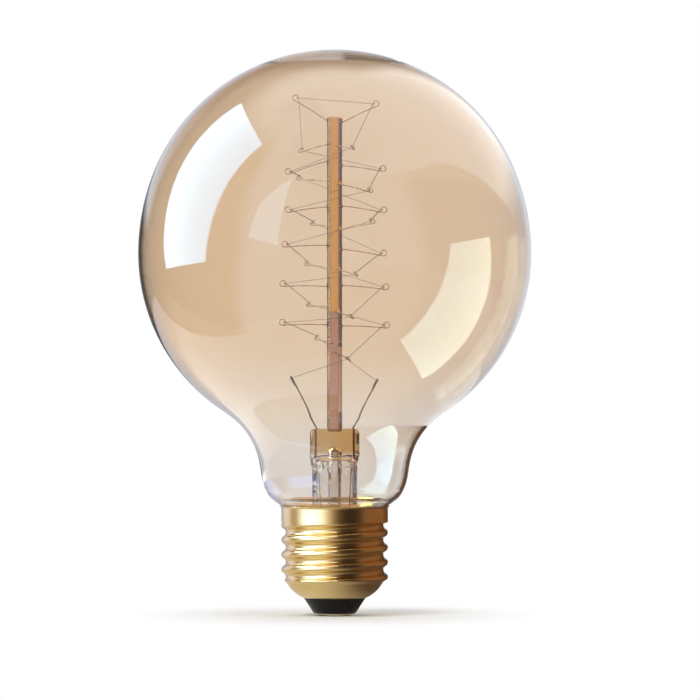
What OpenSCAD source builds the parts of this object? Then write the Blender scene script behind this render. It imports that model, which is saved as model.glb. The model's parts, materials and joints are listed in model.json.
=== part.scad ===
// A filament bulb: a clear amber globe on a screw cap, with one long filament
// strung over wire supports that stand out of a glass rod.
// Millimetres, +Z up. The origin is on the axis, at the lowest face of the centre
// contact. +X is to the right when the bulb is seen from the front, which is -Y.

/* [Globe] */
// Height of the globe's top over the centre contact
globe_top = 138.4; // [137.5:0.1:139.5]
// Thickness of the blown glass
glass_wall = 0.8; // [0.6:0.1:1]
// Radius of the curve over the top
dome_r = 47.75; // [47.4:0.05:48]
// Degrees that the top curve turns through
dome_turn = 71; // [70.5:0.25:71.5]
// Radius of the flatter curve above the widest place
flank_r = 54.25; // [53.5:0.25:55]
// Degrees that the flatter curve turns through
flank_turn = 19; // [18.5:0.25:19.5]
// Radius of the curve below the widest place
belly_r = 46.2; // [45.9:0.1:46.5]
// Degrees that the lower curve turns through
belly_turn = 58; // [57.5:0.25:58.25]
// Radius of the hollow curve where the globe turns into the neck
throat_r = 17.6; // [17:0.1:18]
// Degrees that the throat turns through
throat_turn = 46.5; // [46:0.25:47]
// Radius of the long, nearly straight curve of the neck
neck_curve_r = 32; // [30:1:34]
// Degrees that the neck's curve turns through
neck_turn = 7.6; // [7:0.2:8]
// Radius of the rounded foot that stands on the cap
foot_r = 7.8; // [7.6:0.1:8]
// Degrees that the foot turns through
foot_turn = 48.7; // [48:0.1:49.5]
// Outer radius of the plain neck inside the cap
neck_r = 10.9; // [10.6:0.1:11]

/* [Stem] */
// Width of the flattened top of the stem, where the wires are sealed in
press_w = 12.1; // [11.6:0.1:12.6]
// Thickness of the flattened top
press_t = 5.6; // [5.2:0.1:6.2]
// Height of the top face of the stem
press_top = 46.25; // [45.25:0.25:46.5]
// Height where the flattened top begins to turn into the round tube
press_low = 39.6; // [39.2:0.1:40]
// Outer radius of the stem's tube
stem_r = 5.5; // [5.3:0.1:5.8]
// Wall of the stem's tube
stem_wall = 0.9; // [0.7:0.1:1]
// Outer radius of the exhaust tube
exhaust_r = 1.6; // [1.4:0.1:1.7]
// Diameter of the centre rod
rod_d = 3.7; // [3.4:0.1:4]
// Height of the rod's top
rod_top = 121.8; // [121.6:0.1:123]

/* [Wires] */
// Radius of the two lead wires that carry the filament's ends
lead_wire_r = 0.2; // [0.15:0.01:0.22]
// Distance of each lead wire from the axis where it leaves the glass
lead_x = 4.4; // [4.2:0.1:4.6]
// Radius of the support wires
support_wire_r = 0.125; // [0.1:0.005:0.14]
// Radius of the eye that each support wire is curled into, to the middle of the wire
eye_r = 0.73; // [0.68:0.01:0.8]
// Distance from the axis to the eyes at the front and back
reach = 11.7; // [11.2:0.1:12]
// Lean of the eyes at the front and back, in degrees
eye_lean = 42; // [0:1:50]
// Radius of the filament, which is itself a very fine coil
filament_r = 0.14; // [0.1:0.01:0.14]

/* [Cap] */
// Radius over the crests of the thread, and of the plain collar above it
crest_r = 13.05; // [12.95:0.05:13.1]
// Depth of the thread
thread_depth = 1.1; // [1:0.05:1.15]
// Rise of the thread in one turn, which is seven to the inch
pitch = 3.629; // [3.6:0.001:3.65]
// Thickness of the rolled brass
brass_t = 0.35; // [0.3:0.01:0.38]
// Height where the plain collar begins
collar_low = 22.9; // [22.7:0.1:23]
// Height of the cap's flared lip
lip_top = 26.8; // [26.7:0.05:26.85]
// Radius of the black insulator where it meets the brass
insulator_r = 7.7; // [7.6:0.1:7.7]
// Radius of the insulator's lower face
insulator_tip_r = 5; // [4.9:0.1:5.4]

/* [Hidden] */
tiers = 6;
SIDES = ["left", "right", "back", "front"];
left = 0;
right = 1;
back = 2;
front = 3;

// Each tier of supports, from the top down: the eye's x, its height, and the height
// where the wire leaves the rod, for the left, right, back and front wires
SUPPORTS = [
    [[-9.6, 126.6, 121.3], [10.1, 125.2, 120.8], [-8.3, 114.2, 115.3], [4.4, 114.2, 114.7]],
    [[-11.4, 108.6, 111.0], [11.8, 109.3, 110.0], [-8.9, 107.4, 106.2], [8.7, 103.9, 105.3]],
    [[-11.4, 99.3, 99.9], [12.0, 99.2, 100.1], [-5.6, 96.4, 95.1], [9.2, 96.4, 94.3]],
    [[-12.2, 90.8, 90.5], [12.0, 88.6, 89.5], [-7.0, 86.4, 85.1], [5.2, 83.5, 84.5]],
    [[-12.7, 81.2, 80.5], [12.5, 80.4, 80.7], [-6.5, 76.3, 75.4], [4.2, 73.2, 74.1]],
    [[-12.8, 71.7, 71.1], [12.7, 71.0, 70.8], [-4.6, 68.1, 66.5], [3.4, 63.0, 64.3]]
];
// Where the two lead wires end, seen from the front
lead_tips = [[-10.7, 58.3], [10.5, 57.7]];

function support_name(tier, side) = str("support_", tier, "_", SIDES[side]);

$fn = 96;

rod_r = rod_d / 2;
root_r = crest_r - thread_depth;
fit = 0.02;            // play between pieces that are fused or cemented together
arc_step = 5;          // degrees between points on a turned outline
tube_sides = 6;

// Outlines of turned pieces

// A point that walks along tangent curves. Each row is [radius, turn]: a positive
// radius bulges out, a negative one is hollow, and 0 is a straight run of that length.
// inset moves the whole line inwards by a wall's thickness.
function walk(rows, p, heading, inset = 0, i = 0) =
    i == len(rows) ? [p] :
    rows[i][0] == 0
    ? concat([p], walk(rows, p + rows[i][1] * [cos(heading), -sin(heading)],
                       heading, inset, i + 1))
    : let (r = rows[i][0] - inset,
           turn = sign(rows[i][0]) * rows[i][1],
           steps = ceil(abs(turn) / arc_step),
           centre = p - r * [sin(heading), cos(heading)],
           at = [for (s = [0:steps]) let (h = heading + turn * s / steps)
                 centre + r * [sin(h), cos(h)]])
      concat([for (s = [0:steps - 1]) at[s]],
             walk(rows, at[steps], heading + turn, inset, i + 1));

function arc(centre, r, from, to) =
    let (steps = ceil(abs(to - from) / arc_step))
    [for (s = [0:steps]) let (a = from + (to - from) * s / steps)
     centre + r * [cos(a), sin(a)]];

function reversed(list) = [for (i = [len(list) - 1:-1:0]) list[i]];

globe_rows = [
    [dome_r, dome_turn], [flank_r, flank_turn], [belly_r, belly_turn],
    [-throat_r, throat_turn], [-neck_curve_r, neck_turn], [foot_r, foot_turn]
];
foot_heading = dome_turn + flank_turn + belly_turn - throat_turn - neck_turn + foot_turn;
heel_r = 1.2;
heel_turn = foot_heading - 90;
foot_end = let (path = walk(globe_rows, [0, globe_top], 0)) path[len(path) - 1];
foot_run = (foot_end[0] - neck_r - heel_r * (1 - cos(heel_turn))) / -cos(foot_heading);
neck_low = 16;

function globe_line(inset) =
    let (path = walk(concat(globe_rows, [[0, foot_run], [-heel_r, heel_turn]]),
                     [0, globe_top - inset], 0, inset))
    concat(path, [[path[len(path) - 1][0], neck_low]]);

module glass_envelope() {
    color([0.86, 0.72, 0.55, 0.35])
        rotate_extrude()
            polygon(concat(globe_line(0), reversed(globe_line(glass_wall))));
}

// The stem: a tube whose foot is flared out and fused to the neck, and whose top is
// pinched flat round the wires

flare_r = neck_r - glass_wall - stem_r;
flare_centre = [stem_r + flare_r, neck_low + stem_wall + flare_r];
tube_bore = stem_r - stem_wall;
tube_top = 36;
cavity_top = 38.6;
bubble_r = 1.7;
bubble_z = 39.8;
vent_r = 1;
corner_r = 1.3;

module press_outline(w, t) {
    square([w - t, t], center = true);
    for (s = [-1, 1])
        translate([s * (w - t) / 2, 0])
            circle(d = t, $fn = 32);
}

// From the round tube to the flattened top, as a solid or as the hollow in it
module pinch(r, low, w, t, high) {
    hull() {
        translate([0, 0, low])
            cylinder(h = 0.1, r = r, $fn = 32);
        translate([0, 0, high - 0.1])
            linear_extrude(0.1)
                press_outline(w, t);
    }
}

module press_block() {
    height = press_top - press_low;
    intersection() {
        translate([0, 0, press_low])
            linear_extrude(height)
                press_outline(press_w, press_t);
        translate([0, press_t, 0])
            rotate([90, 0, 0])
                linear_extrude(2 * press_t) {
                    translate([-press_w / 2, press_low])
                        square([press_w, height - corner_r]);
                    translate([-press_w / 2 + corner_r, press_low])
                        square([press_w - 2 * corner_r, height]);
                    for (s = [-1, 1])
                        translate([s * (press_w / 2 - corner_r), press_top - corner_r])
                            circle(r = corner_r);
                }
    }
}

module glass_stem() {
    color([0.85, 0.72, 0.5, 0.5])
        difference() {
            union() {
                rotate_extrude()
                    polygon(concat(
                        [[tube_bore, tube_top], [stem_r, tube_top]],
                        arc(flare_centre, flare_r, 180, 270),
                        reversed(arc(flare_centre, flare_r + stem_wall, 180, 270))));
                difference() {
                    pinch(stem_r, tube_top - 0.1, press_w, press_t, press_low + 0.1);
                    pinch(tube_bore, tube_top - 0.2, press_w - 2 * stem_wall,
                          press_t - 2 * stem_wall + 0.4, cavity_top);
                }
                press_block();
            }
            for (s = [-1, 1])
                translate([s * lead_x, 0, cavity_top - 1])
                    cylinder(h = press_top, r = lead_wire_r + fit, $fn = 24);
            translate([0, 0, press_top])
                rod_end(rod_r + fit);
            translate([0, 0, cavity_top - 1])
                cylinder(h = bubble_z - cavity_top + 1, r = vent_r);
            translate([0, 0, bubble_z])
                sphere(r = bubble_r);
            translate([0, 0, bubble_z])
                rotate([-90, 0, 0])
                    cylinder(h = press_t, r = vent_r);
        }
}

module exhaust_tube() {
    bore_r = exhaust_r - 0.6;
    tip_z = 11.5;
    color([0.88, 0.8, 0.66, 0.5])
        rotate_extrude()
            polygon(concat(
                [[bore_r, cavity_top], [exhaust_r, cavity_top]],
                arc([0, tip_z + exhaust_r], exhaust_r, 0, -90),
                arc([0, tip_z + exhaust_r + 0.4], bore_r, -90, 0)));
}

// The centre rod's rounded lower end, which is melted a little way into the stem
rod_sink = 0.9;
module rod_end(r) {
    intersection() {
        sphere(r = r);
        translate([0, 0, -rod_sink])
            cylinder(h = 2 * rod_sink, r = r);
    }
}

module centre_rod() {
    color([0.78, 0.56, 0.3, 0.7])
        difference() {
            union() {
                translate([0, 0, press_top])
                    rod_end(rod_r);
                translate([0, 0, press_top])
                    cylinder(h = rod_top - press_top, r = rod_r);
            }
            for (tier = [1:tiers])
                for (side = [left:front])
                    support_hole(tier, side);
        }
}

// Wires: a tube with a few flat sides is swept along the points of a path

function unit(v) = v / norm(v);
function tangents(path) =
    let (last = len(path) - 1)
    [for (i = [0:last]) unit(path[min(i + 1, last)] - path[max(i - 1, 0)])];
function across(v, along) = unit(v - (v * along) * along);
function any_across(t) = across(abs(t[2]) < 0.8 ? [0, 0, 1] : [1, 0, 0], t);
function carried(ts, n, i = 0) =
    i == len(ts) ? [] :
    let (here = across(n, ts[i]))
    concat([here], carried(ts, here, i + 1));

module tube(path, r) {
    sides = tube_sides;
    ts = tangents(path);
    ns = carried(ts, any_across(ts[0]));
    last = len(path) - 1;
    points = [for (i = [0:last]) for (j = [0:sides - 1])
        let (a = 360 * j / sides)
        path[i] + r * (cos(a) * ns[i] + sin(a) * cross(ts[i], ns[i]))];
    walls = [for (i = [0:last - 1]) for (j = [0:sides - 1])
        let (k = (j + 1) % sides, a = i * sides, b = a + sides)
        each [[a + j, b + k, a + k], [a + j, b + j, b + k]]];
    ends = [for (j = [1:sides - 2])
        each [[0, j, j + 1], last * sides * [1, 1, 1] + [0, j + 1, j]]];
    polyhedron(points, concat(walls, ends));
}

// The eye at the end of a support wire has a middle, and its own three directions:
// out from the axis, up its plane, and along its own axis

function eye_middle(tier, side) =
    let (s = SUPPORTS[tier - 1][side], x = s[0], depth = sqrt(reach^2 - x^2))
    [x, side == back ? depth : side == front ? -depth : 0, s[1]];
function eye_out(tier, side) =
    let (m = eye_middle(tier, side))
    unit([m[0], m[1], 0]);
function eye_tangent(tier, side) = cross([0, 0, 1], eye_out(tier, side));
function eye_tilt(side) = side == back || side == front ? eye_lean : 0;
function eye_up(tier, side) =
    cos(eye_tilt(side)) * [0, 0, 1] - sin(eye_tilt(side)) * eye_tangent(tier, side);
function eye_axis(tier, side) = cross(eye_up(tier, side), eye_out(tier, side));

eye_turn = 325;        // degrees of the curl
eye_shift = 0.3;       // how far the curl moves along its own axis in one turn
root_depth = 1.1;      // length of wire melted into the rod

function support_path(tier, side) =
    let (m = eye_middle(tier, side),
         out = eye_out(tier, side),
         up = eye_up(tier, side),
         axis = eye_axis(tier, side),
         root = [0, 0, SUPPORTS[tier - 1][side][2]],
         curl = [for (s = [0:9]) let (a = -90 + eye_turn * s / 9)
             m + eye_r * (cos(a) * out + sin(a) * up)
             + eye_shift * (a - 180) / 360 * axis],
         bend = root + (rod_r + 0.4) * out)
    concat([root + (rod_r - root_depth) * out, bend,
            bend + 0.5 * (curl[0] - bend) + [0, 0, 0.15]], curl);

module support_hole(tier, side) {
    out = eye_out(tier, side);
    translate([0, 0, SUPPORTS[tier - 1][side][2]])
        rotate([0, 0, atan2(out[1], out[0])])
            rotate([0, 90, 0])
                translate([0, 0, rod_r - root_depth - fit])
                    cylinder(h = rod_d, r = support_wire_r + fit, $fn = 24);
}

module support_wire(tier, side) {
    color([0.32, 0.27, 0.24])
        tube(support_path(tier, side), support_wire_r);
}

// Each lead wire is folded back at its tip, where the fold clamps the filament's end.
// The fold stands nearly edge on to the front.

clamp_r = 0.36;        // half the distance between the two legs of the fold
clamp_leg = 2;

function lead_slope(side) =
    let (s = side == left ? -1 : 1)
    unit([lead_tips[side][0] - s * lead_x, 0, lead_tips[side][1] - press_top]);
function clamp_axis(side) =
    let (along = lead_slope(side), turn = 20)
    unit(cos(turn) * cross([0, 1, 0], along) + sin(turn) * [0, 1, 0]);

// The filament goes up one side of the cage and down the other as a two-start screw:
// it takes two supports of each tier on the way up and the other two on the way down

way_up = [for (tier = [tiers:-1:1]) each tier % 2 == 0
    ? [[tier, back], [tier, left]] : [[tier, front], [tier, right]]];
way_down = [for (tier = [1:tiers]) each tier % 2 == 1
    ? [[tier, left], [tier, back]] : [[tier, right], [tier, front]]];

// Round an eye's inner wire: beside it, through the eye, and out on the other side
function through_eye(stop, way) =
    let (m = eye_middle(stop[0], stop[1]),
         out = eye_out(stop[0], stop[1]),
         axis = way * eye_axis(stop[0], stop[1]),
         beside = 0.4, inside = 0.28)
    [m - eye_r * out + beside * axis, m - inside * out, m - eye_r * out - beside * axis];

function clamp_point(side) =
    let (along = lead_slope(side))
    [lead_tips[side][0], 0, lead_tips[side][1]] - clamp_r * along;
function filament_end(side, beyond) = clamp_point(side) + beyond * clamp_axis(side);

filament_path = concat(
    [filament_end(right, 0.5), filament_end(right, -0.5)],
    [for (stop = way_up) each through_eye(stop, -1)],
    [for (stop = way_down) each through_eye(stop, 1)],
    [filament_end(left, 0.5), filament_end(left, -0.5)]
);

// Least distance between stretches of the filament that don't follow each other
gap_steps = 6;
spans = concat([clamp_point(right)],
               [for (stop = concat(way_up, way_down)) eye_middle(stop[0], stop[1])],
               [clamp_point(left)]);
span_points = [for (i = [0:len(spans) - 2])
    [for (s = [1:gap_steps - 1]) spans[i] + (spans[i + 1] - spans[i]) * s / gap_steps]];
least_gap = min([for (i = [0:len(spans) - 4]) for (j = [i + 2:len(spans) - 2])
    for (a = span_points[i]) for (b = span_points[j]) norm(a - b)]) - 2 * filament_r;
echo("least gap of the filament to itself, in mm", least_gap);

module filament() {
    color([0.3, 0.26, 0.24])
        tube(filament_path, filament_r);
}

// Lead wires: each bends out of the stem and ends in its fold

lead_low = press_top - 0.9;

function lead_path(side) =
    let (s = side == left ? -1 : 1,
         along = lead_slope(side),
         aside = cross(along, clamp_axis(side)),
         m = clamp_point(side))
    concat(
        [[s * lead_x, 0, lead_low], [s * lead_x, 0, press_top],
         [s * (lead_x + 0.25), 0, press_top + 0.6]],
        [for (a = [180:-30:0]) m + clamp_r * (cos(a) * aside + sin(a) * along)],
        [m + clamp_r * aside - clamp_leg * along]);

module lead_wire(side) {
    color([0.36, 0.27, 0.2])
        tube(lead_path(side), lead_wire_r);
}

// The short wires that are sealed in the flattened glass
seal_low = 38.2;
module seal_wire(s) {
    color([0.6, 0.28, 0.18])
        translate([s * lead_x, 0, seal_low])
            cylinder(h = lead_low - seal_low, r = lead_wire_r, $fn = 24);
}

// Below the seal: the left wire goes on through a thin fuse to the centre contact, and
// the right wire goes out under the stem's flare and up to the cap's lip

outer_wire_r = 0.15;
rim_wire_r = 0.125;
fuse_low = 24;
plate_top = 0.75;
plate_t = 0.4;
fuse_wire_r = 0.08;
rim_angle = 48;
notch_z = 26.15;       // height where the side wire goes out through a notch in the lip

function at_rim(r, z) = [r * cos(rim_angle), r * sin(rim_angle), z];
rim_wire_end = at_rim(crest_r + 0.03, notch_z + 0.21);

module fuse_link() {
    color([0.62, 0.6, 0.56])
        tube([[-lead_x, 0, seal_low], [-lead_x, 0, seal_low - 0.4], [-4, 0, 36], [-3.6, 0, 30],
              [-3.4, 0, fuse_low + 0.4], [-3.4, 0, fuse_low]], fuse_wire_r);
}

module outer_lead_contact() {
    color([0.72, 0.42, 0.25])
        tube([[-3.4, 0, fuse_low], [-3.4, 0, fuse_low - 0.4], [-3.2, 0, 18], [-2.8, 0, 13],
              [-1.6, 0, 9.6], [-0.4, 0, 8.2], [0, 0, 7.2], [0, 0, plate_top]], outer_wire_r);
}

module outer_lead_shell() {
    color([0.72, 0.42, 0.25])
        tube([[lead_x, 0, seal_low], [lead_x, 0, seal_low - 0.4], [4.1, 0, 36], [3.8, 0.2, 30],
              [3.6, 0.8, 22], [3.8, 2.2, 16.5], at_rim(6.5, 13.8), at_rim(9.5, 13.4),
              at_rim(10.9, 14.3), at_rim(11.22, 16), at_rim(11.22, 22.3), at_rim(11.7, 23.3),
              at_rim(11.8, 23.9), at_rim(11.8, 24.9), at_rim(12.3, 25.75),
              at_rim(12.6, notch_z), rim_wire_end], rim_wire_r);
}

// The cap: rolled brass shell with a rounded right-hand thread

thread_arc_r = ((pitch / 2)^2 + thread_depth^2) / (4 * thread_depth);
crest_z = 9.4;         // height of a crest at the right-hand side
thread_low = 7.9;
thread_fade = 1.1;
shell_bottom = 4.3;
sleeve_top = collar_low + 0.5;
turn_step = 10;
rise_step = pitch / 10;
collar_fillet = 0.7;
lap = 0.08;            // how far the sleeve below lies inside the collar's faces

function eased(t) = let (c = min(max(t, 0), 1)) c * c * (3 - 2 * c);

function thread_r(turn, z) =
    let (along = (z - crest_z) / pitch - turn / 360,
         off = abs(along - round(along)) * pitch)
    off < pitch / 4
    ? crest_r - thread_arc_r + sqrt(thread_arc_r^2 - off^2)
    : root_r + thread_arc_r - sqrt(thread_arc_r^2 - (pitch / 2 - off)^2);

function shell_r(turn, z) =
    let (rolled = root_r + (thread_r(turn, z) - root_r) * eased((z - thread_low) / thread_fade),
         collar = root_r + (crest_r - lap - root_r)
                  * eased((z - collar_low + collar_fillet) / collar_fillet))
    z > collar_low ? crest_r - lap : max(min(rolled, crest_r - lap / 2), collar);

function sleeve_wall(z) = z > collar_low - 0.1 ? brass_t - 2 * lap : brass_t;

cone_outer = [[insulator_r, shell_bottom], [8.6, 4.8], [10.2, 6], [root_r - 0.3, 7.9]];
cone_inner = [[insulator_r, shell_bottom + 0.35], [8.4, 5.1], [9.93, 6.25],
              [root_r - brass_t - 0.25, 8]];
rise_count = floor((sleeve_top - 8.4) / rise_step);
rises = [for (i = [0:rise_count]) 8.4 + (sleeve_top - 8.4) * i / rise_count];

function shell_loop(turn) = concat(
    cone_outer,
    [for (z = rises) [shell_r(turn, z), z]],
    [for (z = reversed(rises)) [shell_r(turn, z) - sleeve_wall(z), z]],
    reversed(cone_inner));

module threaded_sleeve() {
    turns = 360 / turn_step;
    loop_n = len(shell_loop(0));
    points = [for (j = [0:turns - 1]) for (p = shell_loop(j * turn_step))
        [p[0] * cos(j * turn_step), p[0] * sin(j * turn_step), p[1]]];
    faces = [for (j = [0:turns - 1]) for (i = [0:loop_n - 1])
        let (a = j * loop_n, b = ((j + 1) % turns) * loop_n, k = (i + 1) % loop_n)
        each [[a + i, a + k, b + k], [a + i, b + k, b + i]]];
    polyhedron(points, faces);
}

lip_flare = 0.4;
lip_drop = 0.5;        // how far below the top the lip begins to flare
lip_edge = 0.1;
notch_half = rim_wire_r + fit;

module collar() {
    difference() {
        rotate_extrude()
            polygon([[crest_r - brass_t, collar_low], [crest_r, collar_low],
                     [crest_r, lip_top - lip_drop], [crest_r + lip_flare, lip_top - lip_edge],
                     [crest_r + lip_flare, lip_top], [crest_r + lip_flare - 0.2, lip_top],
                     [crest_r - brass_t, lip_top - 0.65]]);
        rotate([0, 0, rim_angle])
            translate([crest_r - 1, -notch_half, notch_z - notch_half])
                cube([2, 2 * notch_half, 2]);
    }
}

module screw_shell() {
    color([0.83, 0.66, 0.32]) {
        threaded_sleeve();
        collar();
    }
}

insulator_low = 0.5;
plate_r = 4.7;
eyelet_r = 0.6;

module base_insulator() {
    color([0.1, 0.09, 0.09])
        rotate_extrude()
            polygon([[eyelet_r, plate_top], [plate_r + fit, plate_top],
                     [plate_r + fit, insulator_low], [insulator_tip_r, insulator_low],
                     [insulator_r - 0.1, shell_bottom - 0.1],
                     [insulator_r - 0.1, shell_bottom + 0.45], [8.2, 5.25], [9.75, 6.4],
                     [10.6, 7.6], [9.6, 7.7], [6, 6.4], [2.4, 6], [eyelet_r, 5.6]]);
}

module contact_plate() {
    color([0.78, 0.74, 0.66])
        translate([0, 0, plate_top - plate_t])
            difference() {
                cylinder(h = plate_t - fit, r = plate_r);
                translate([0, 0, -plate_t])
                    cylinder(h = 3 * plate_t, r = eyelet_r);
            }
}

module contact_solder() {
    color([0.72, 0.72, 0.7])
        rotate_extrude()
            polygon([[0, 0], [1.9, 0], [2.6, 0.12], [3, plate_top - plate_t - fit],
                     [eyelet_r - fit, plate_top - plate_t - fit],
                     [eyelet_r - fit, plate_top - fit], [0, plate_top - fit]]);
}

solder_r = 0.3;
solder_half = 0.7;      // half the length of the drop along the lip

module rim_solder() {
    color([0.72, 0.72, 0.7])
        difference() {
            hull() {
                translate(at_rim(crest_r + 0.75, lip_top))
                    rotate([0, 0, rim_angle])
                        scale([1, solder_half / solder_r, 1])
                            sphere(r = solder_r, $fn = 24);
                translate(at_rim(crest_r + 0.1, lip_top - 0.32))
                    sphere(r = 0.1, $fn = 16);
            }
            rotate_extrude()
                polygon([[0, 0], [crest_r + fit, 0], [crest_r + fit, lip_top - lip_drop],
                         [crest_r + lip_flare + fit, lip_top - lip_edge],
                         [crest_r + lip_flare + fit, 2 * lip_top], [0, 2 * lip_top]]);
        }
}

module basing_cement() {
    color([0.82, 0.76, 0.62])
        difference() {
            translate([0, 0, collar_low + 0.6])
                cylinder(h = 1.3, r = crest_r - brass_t - fit);
            translate([0, 0, collar_low])
                cylinder(h = 3, r = neck_r + fit);
            translate(at_rim(11.8, collar_low))
                cylinder(h = 3, r = 0.2, $fn = 24);
        }
}

glass_envelope();
glass_stem();
exhaust_tube();
centre_rod();
filament();
lead_wire(left);  // lead_wire_left
lead_wire(right);  // lead_wire_right
seal_wire(-1);  // seal_wire_left
seal_wire(1);  // seal_wire_right
fuse_link();
outer_lead_contact();
outer_lead_shell();
screw_shell();
base_insulator();
contact_plate();
contact_solder();
rim_solder();
basing_cement();
for (tier = [1:tiers])
    for (side = [left:front])
        support_wire(tier, side);
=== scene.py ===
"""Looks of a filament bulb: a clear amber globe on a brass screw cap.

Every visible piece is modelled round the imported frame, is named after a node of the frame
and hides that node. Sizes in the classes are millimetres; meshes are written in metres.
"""

from __future__ import annotations

import json
import logging
import math
from dataclasses import dataclass, field
from enum import Enum
from typing import Callable, Iterable, Sequence

import bmesh
import bpy
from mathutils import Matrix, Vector, noise

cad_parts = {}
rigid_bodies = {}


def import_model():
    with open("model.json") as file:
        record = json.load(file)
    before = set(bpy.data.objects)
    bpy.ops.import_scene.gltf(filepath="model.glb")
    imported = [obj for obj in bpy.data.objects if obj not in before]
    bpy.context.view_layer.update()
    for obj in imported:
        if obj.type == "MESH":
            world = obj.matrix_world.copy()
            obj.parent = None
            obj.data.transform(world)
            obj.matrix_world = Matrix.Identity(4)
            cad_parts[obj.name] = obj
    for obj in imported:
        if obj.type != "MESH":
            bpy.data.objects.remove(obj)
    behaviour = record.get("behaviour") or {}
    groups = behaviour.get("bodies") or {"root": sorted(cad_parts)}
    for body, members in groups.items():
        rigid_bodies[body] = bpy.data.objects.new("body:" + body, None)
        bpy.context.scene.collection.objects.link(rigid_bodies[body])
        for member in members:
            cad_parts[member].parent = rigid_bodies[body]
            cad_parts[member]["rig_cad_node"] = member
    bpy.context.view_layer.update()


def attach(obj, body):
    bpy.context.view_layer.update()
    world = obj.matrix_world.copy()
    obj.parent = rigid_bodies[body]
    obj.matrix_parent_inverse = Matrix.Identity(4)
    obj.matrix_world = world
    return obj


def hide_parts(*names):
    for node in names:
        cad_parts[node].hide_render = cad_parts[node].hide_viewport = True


log = logging.getLogger("filament_bulb")

MM = 0.001
# Points that are nearer to each other than this are one point
MERGE = 0.0005 * MM
UP = Vector((0, 0, 1))
Colour = tuple[float, float, float]
Point2 = tuple[float, float]
Point3 = tuple[float, float, float]
# Colours along a number, each with its place
Band = tuple[tuple[float, Colour], ...]
WHITE = (1.0, 1.0, 1.0)
# Shorter than this, a direction has no meaning
TINY = 1e-6

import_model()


def eased(share: float) -> float:
    """Returns a smooth step from 0 to 1 as share goes from 0 to 1."""
    share = min(max(share, 0.0), 1.0)
    return share * share * (3 - 2 * share)


@dataclass
class Outline:
    """A turned piece's outline, walked as tangent arcs and straight runs.

    The heading is in degrees: 0 points away from the axis and 90 points down.
    """

    radius: float
    height: float
    heading: float = 0.0
    step: float = 2.0
    points: list[Point2] = field(default_factory=list)

    def __post_init__(self) -> None:
        """Puts the starting point on the outline."""
        self.points.append((self.radius, self.height))

    def arc(self, bend: float, turn: float) -> Outline:
        """Follows an arc from where the outline ends.

        Args:
            bend: The arc's radius, negative where the outline is hollow.
            turn: The degrees that the heading turns through.

        Returns:
            The outline itself, so that calls can follow each other.
        """
        turn = math.copysign(turn, bend)
        steps = max(1, math.ceil(abs(turn) / self.step))
        start = math.radians(self.heading)
        r, z = self.points[-1]
        centre = (r - bend * math.sin(start), z - bend * math.cos(start))
        for i in range(1, steps + 1):
            at = math.radians(self.heading + turn * i / steps)
            self.points.append((centre[0] + bend * math.sin(at), centre[1] + bend * math.cos(at)))
        self.heading += turn
        return self

    def run(self, length: float, parts: int = 1) -> Outline:
        """Goes straight on along the heading for a length, in equal parts.

        Args:
            length: The way to go.
            parts: The number of parts.

        Returns:
            The outline itself.
        """
        at = math.radians(self.heading)
        for _ in range(parts):
            r, z = self.points[-1]
            self.points.append((r + length / parts * math.cos(at),
                                z - length / parts * math.sin(at)))
        return self

    def to(self, r: float, z: float) -> Outline:
        """Goes straight to a point.

        Args:
            r: The point's radius.
            z: Its height.

        Returns:
            The outline itself.
        """
        self.heading = math.degrees(math.atan2(self.points[-1][1] - z, r - self.points[-1][0]))
        self.points.append((r, z))
        return self


def softened(points: Sequence[Point2], reach: float, pick: int) -> list[Point2]:
    """Eases the sudden changes of curvature along an outline of many points.

    Args:
        points: Radius and height of each point, in millimetres.
        reach: How far to each side the average goes, in millimetres.
        pick: Every pick-th point is kept.

    Returns:
        The kept points, ends unmoved.
    """
    way = [0.0]
    for a, b in zip(points, points[1:]):
        way.append(way[-1] + math.dist(a, b))
    spans = [b - a for a, b in zip(way, way[1:])]
    weights = [a + b for a, b in zip([0, *spans], [*spans, 0])]
    last = len(points) - 1
    rounding = 1e-9
    kept = []
    for i in [*range(0, last, pick), last]:
        near = min(reach, way[i], way[-1] - way[i]) + rounding
        close = [(weight, point) for weight, point, at in zip(weights, points, way)
                 if abs(at - way[i]) <= near]
        total = sum(weight for weight, _ in close)
        kept.append((sum(weight * point[0] for weight, point in close) / total,
                     sum(weight * point[1] for weight, point in close) / total))
    return kept


def turned(points: Sequence[Point2], steps: int, closed: bool = False) -> bmesh.types.BMesh:
    """Turns an outline once round Z.

    Args:
        points: Radius and height of each point, in millimetres.
        steps: The number of sides.
        closed: True if the last point joins the first.

    Returns:
        A closed mesh in metres whose faces point outwards.
    """
    bm = bmesh.new()
    verts = [bm.verts.new((max(r, 0.0) * MM, 0, z * MM)) for r, z in points]
    ends = list(zip(verts, verts[1:])) + ([(verts[-1], verts[0])] if closed else [])
    edges = [bm.edges.new(pair) for pair in ends]
    bmesh.ops.spin(bm, geom=verts + edges, cent=(0, 0, 0), axis=UP, angle=math.tau, steps=steps,
                   use_merge=True)
    bmesh.ops.remove_doubles(bm, verts=bm.verts, dist=MERGE)
    bmesh.ops.recalc_face_normals(bm, faces=bm.faces)
    return bm


def smooth_path(points: Sequence[Vector], steps: int) -> list[Vector]:
    """Runs a smooth curve through a few points.

    Args:
        points: The points that the curve passes through.
        steps: The number of steps from one point to the next.

    Returns:
        The points of the curve, ends included.
    """
    ends = [2 * points[0] - points[1], *points, 2 * points[-1] - points[-2]]
    curve = []
    for a, b, c, d in zip(ends, ends[1:], ends[2:], ends[3:]):
        for i in range(steps):
            t = i / steps
            curve.append(0.5 * (2 * b + t * (c - a) + t * t * (2 * a - 5 * b + 4 * c - d)
                                + t ** 3 * (3 * (b - c) + d - a)))
    return [*curve, points[-1].copy()]


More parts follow.
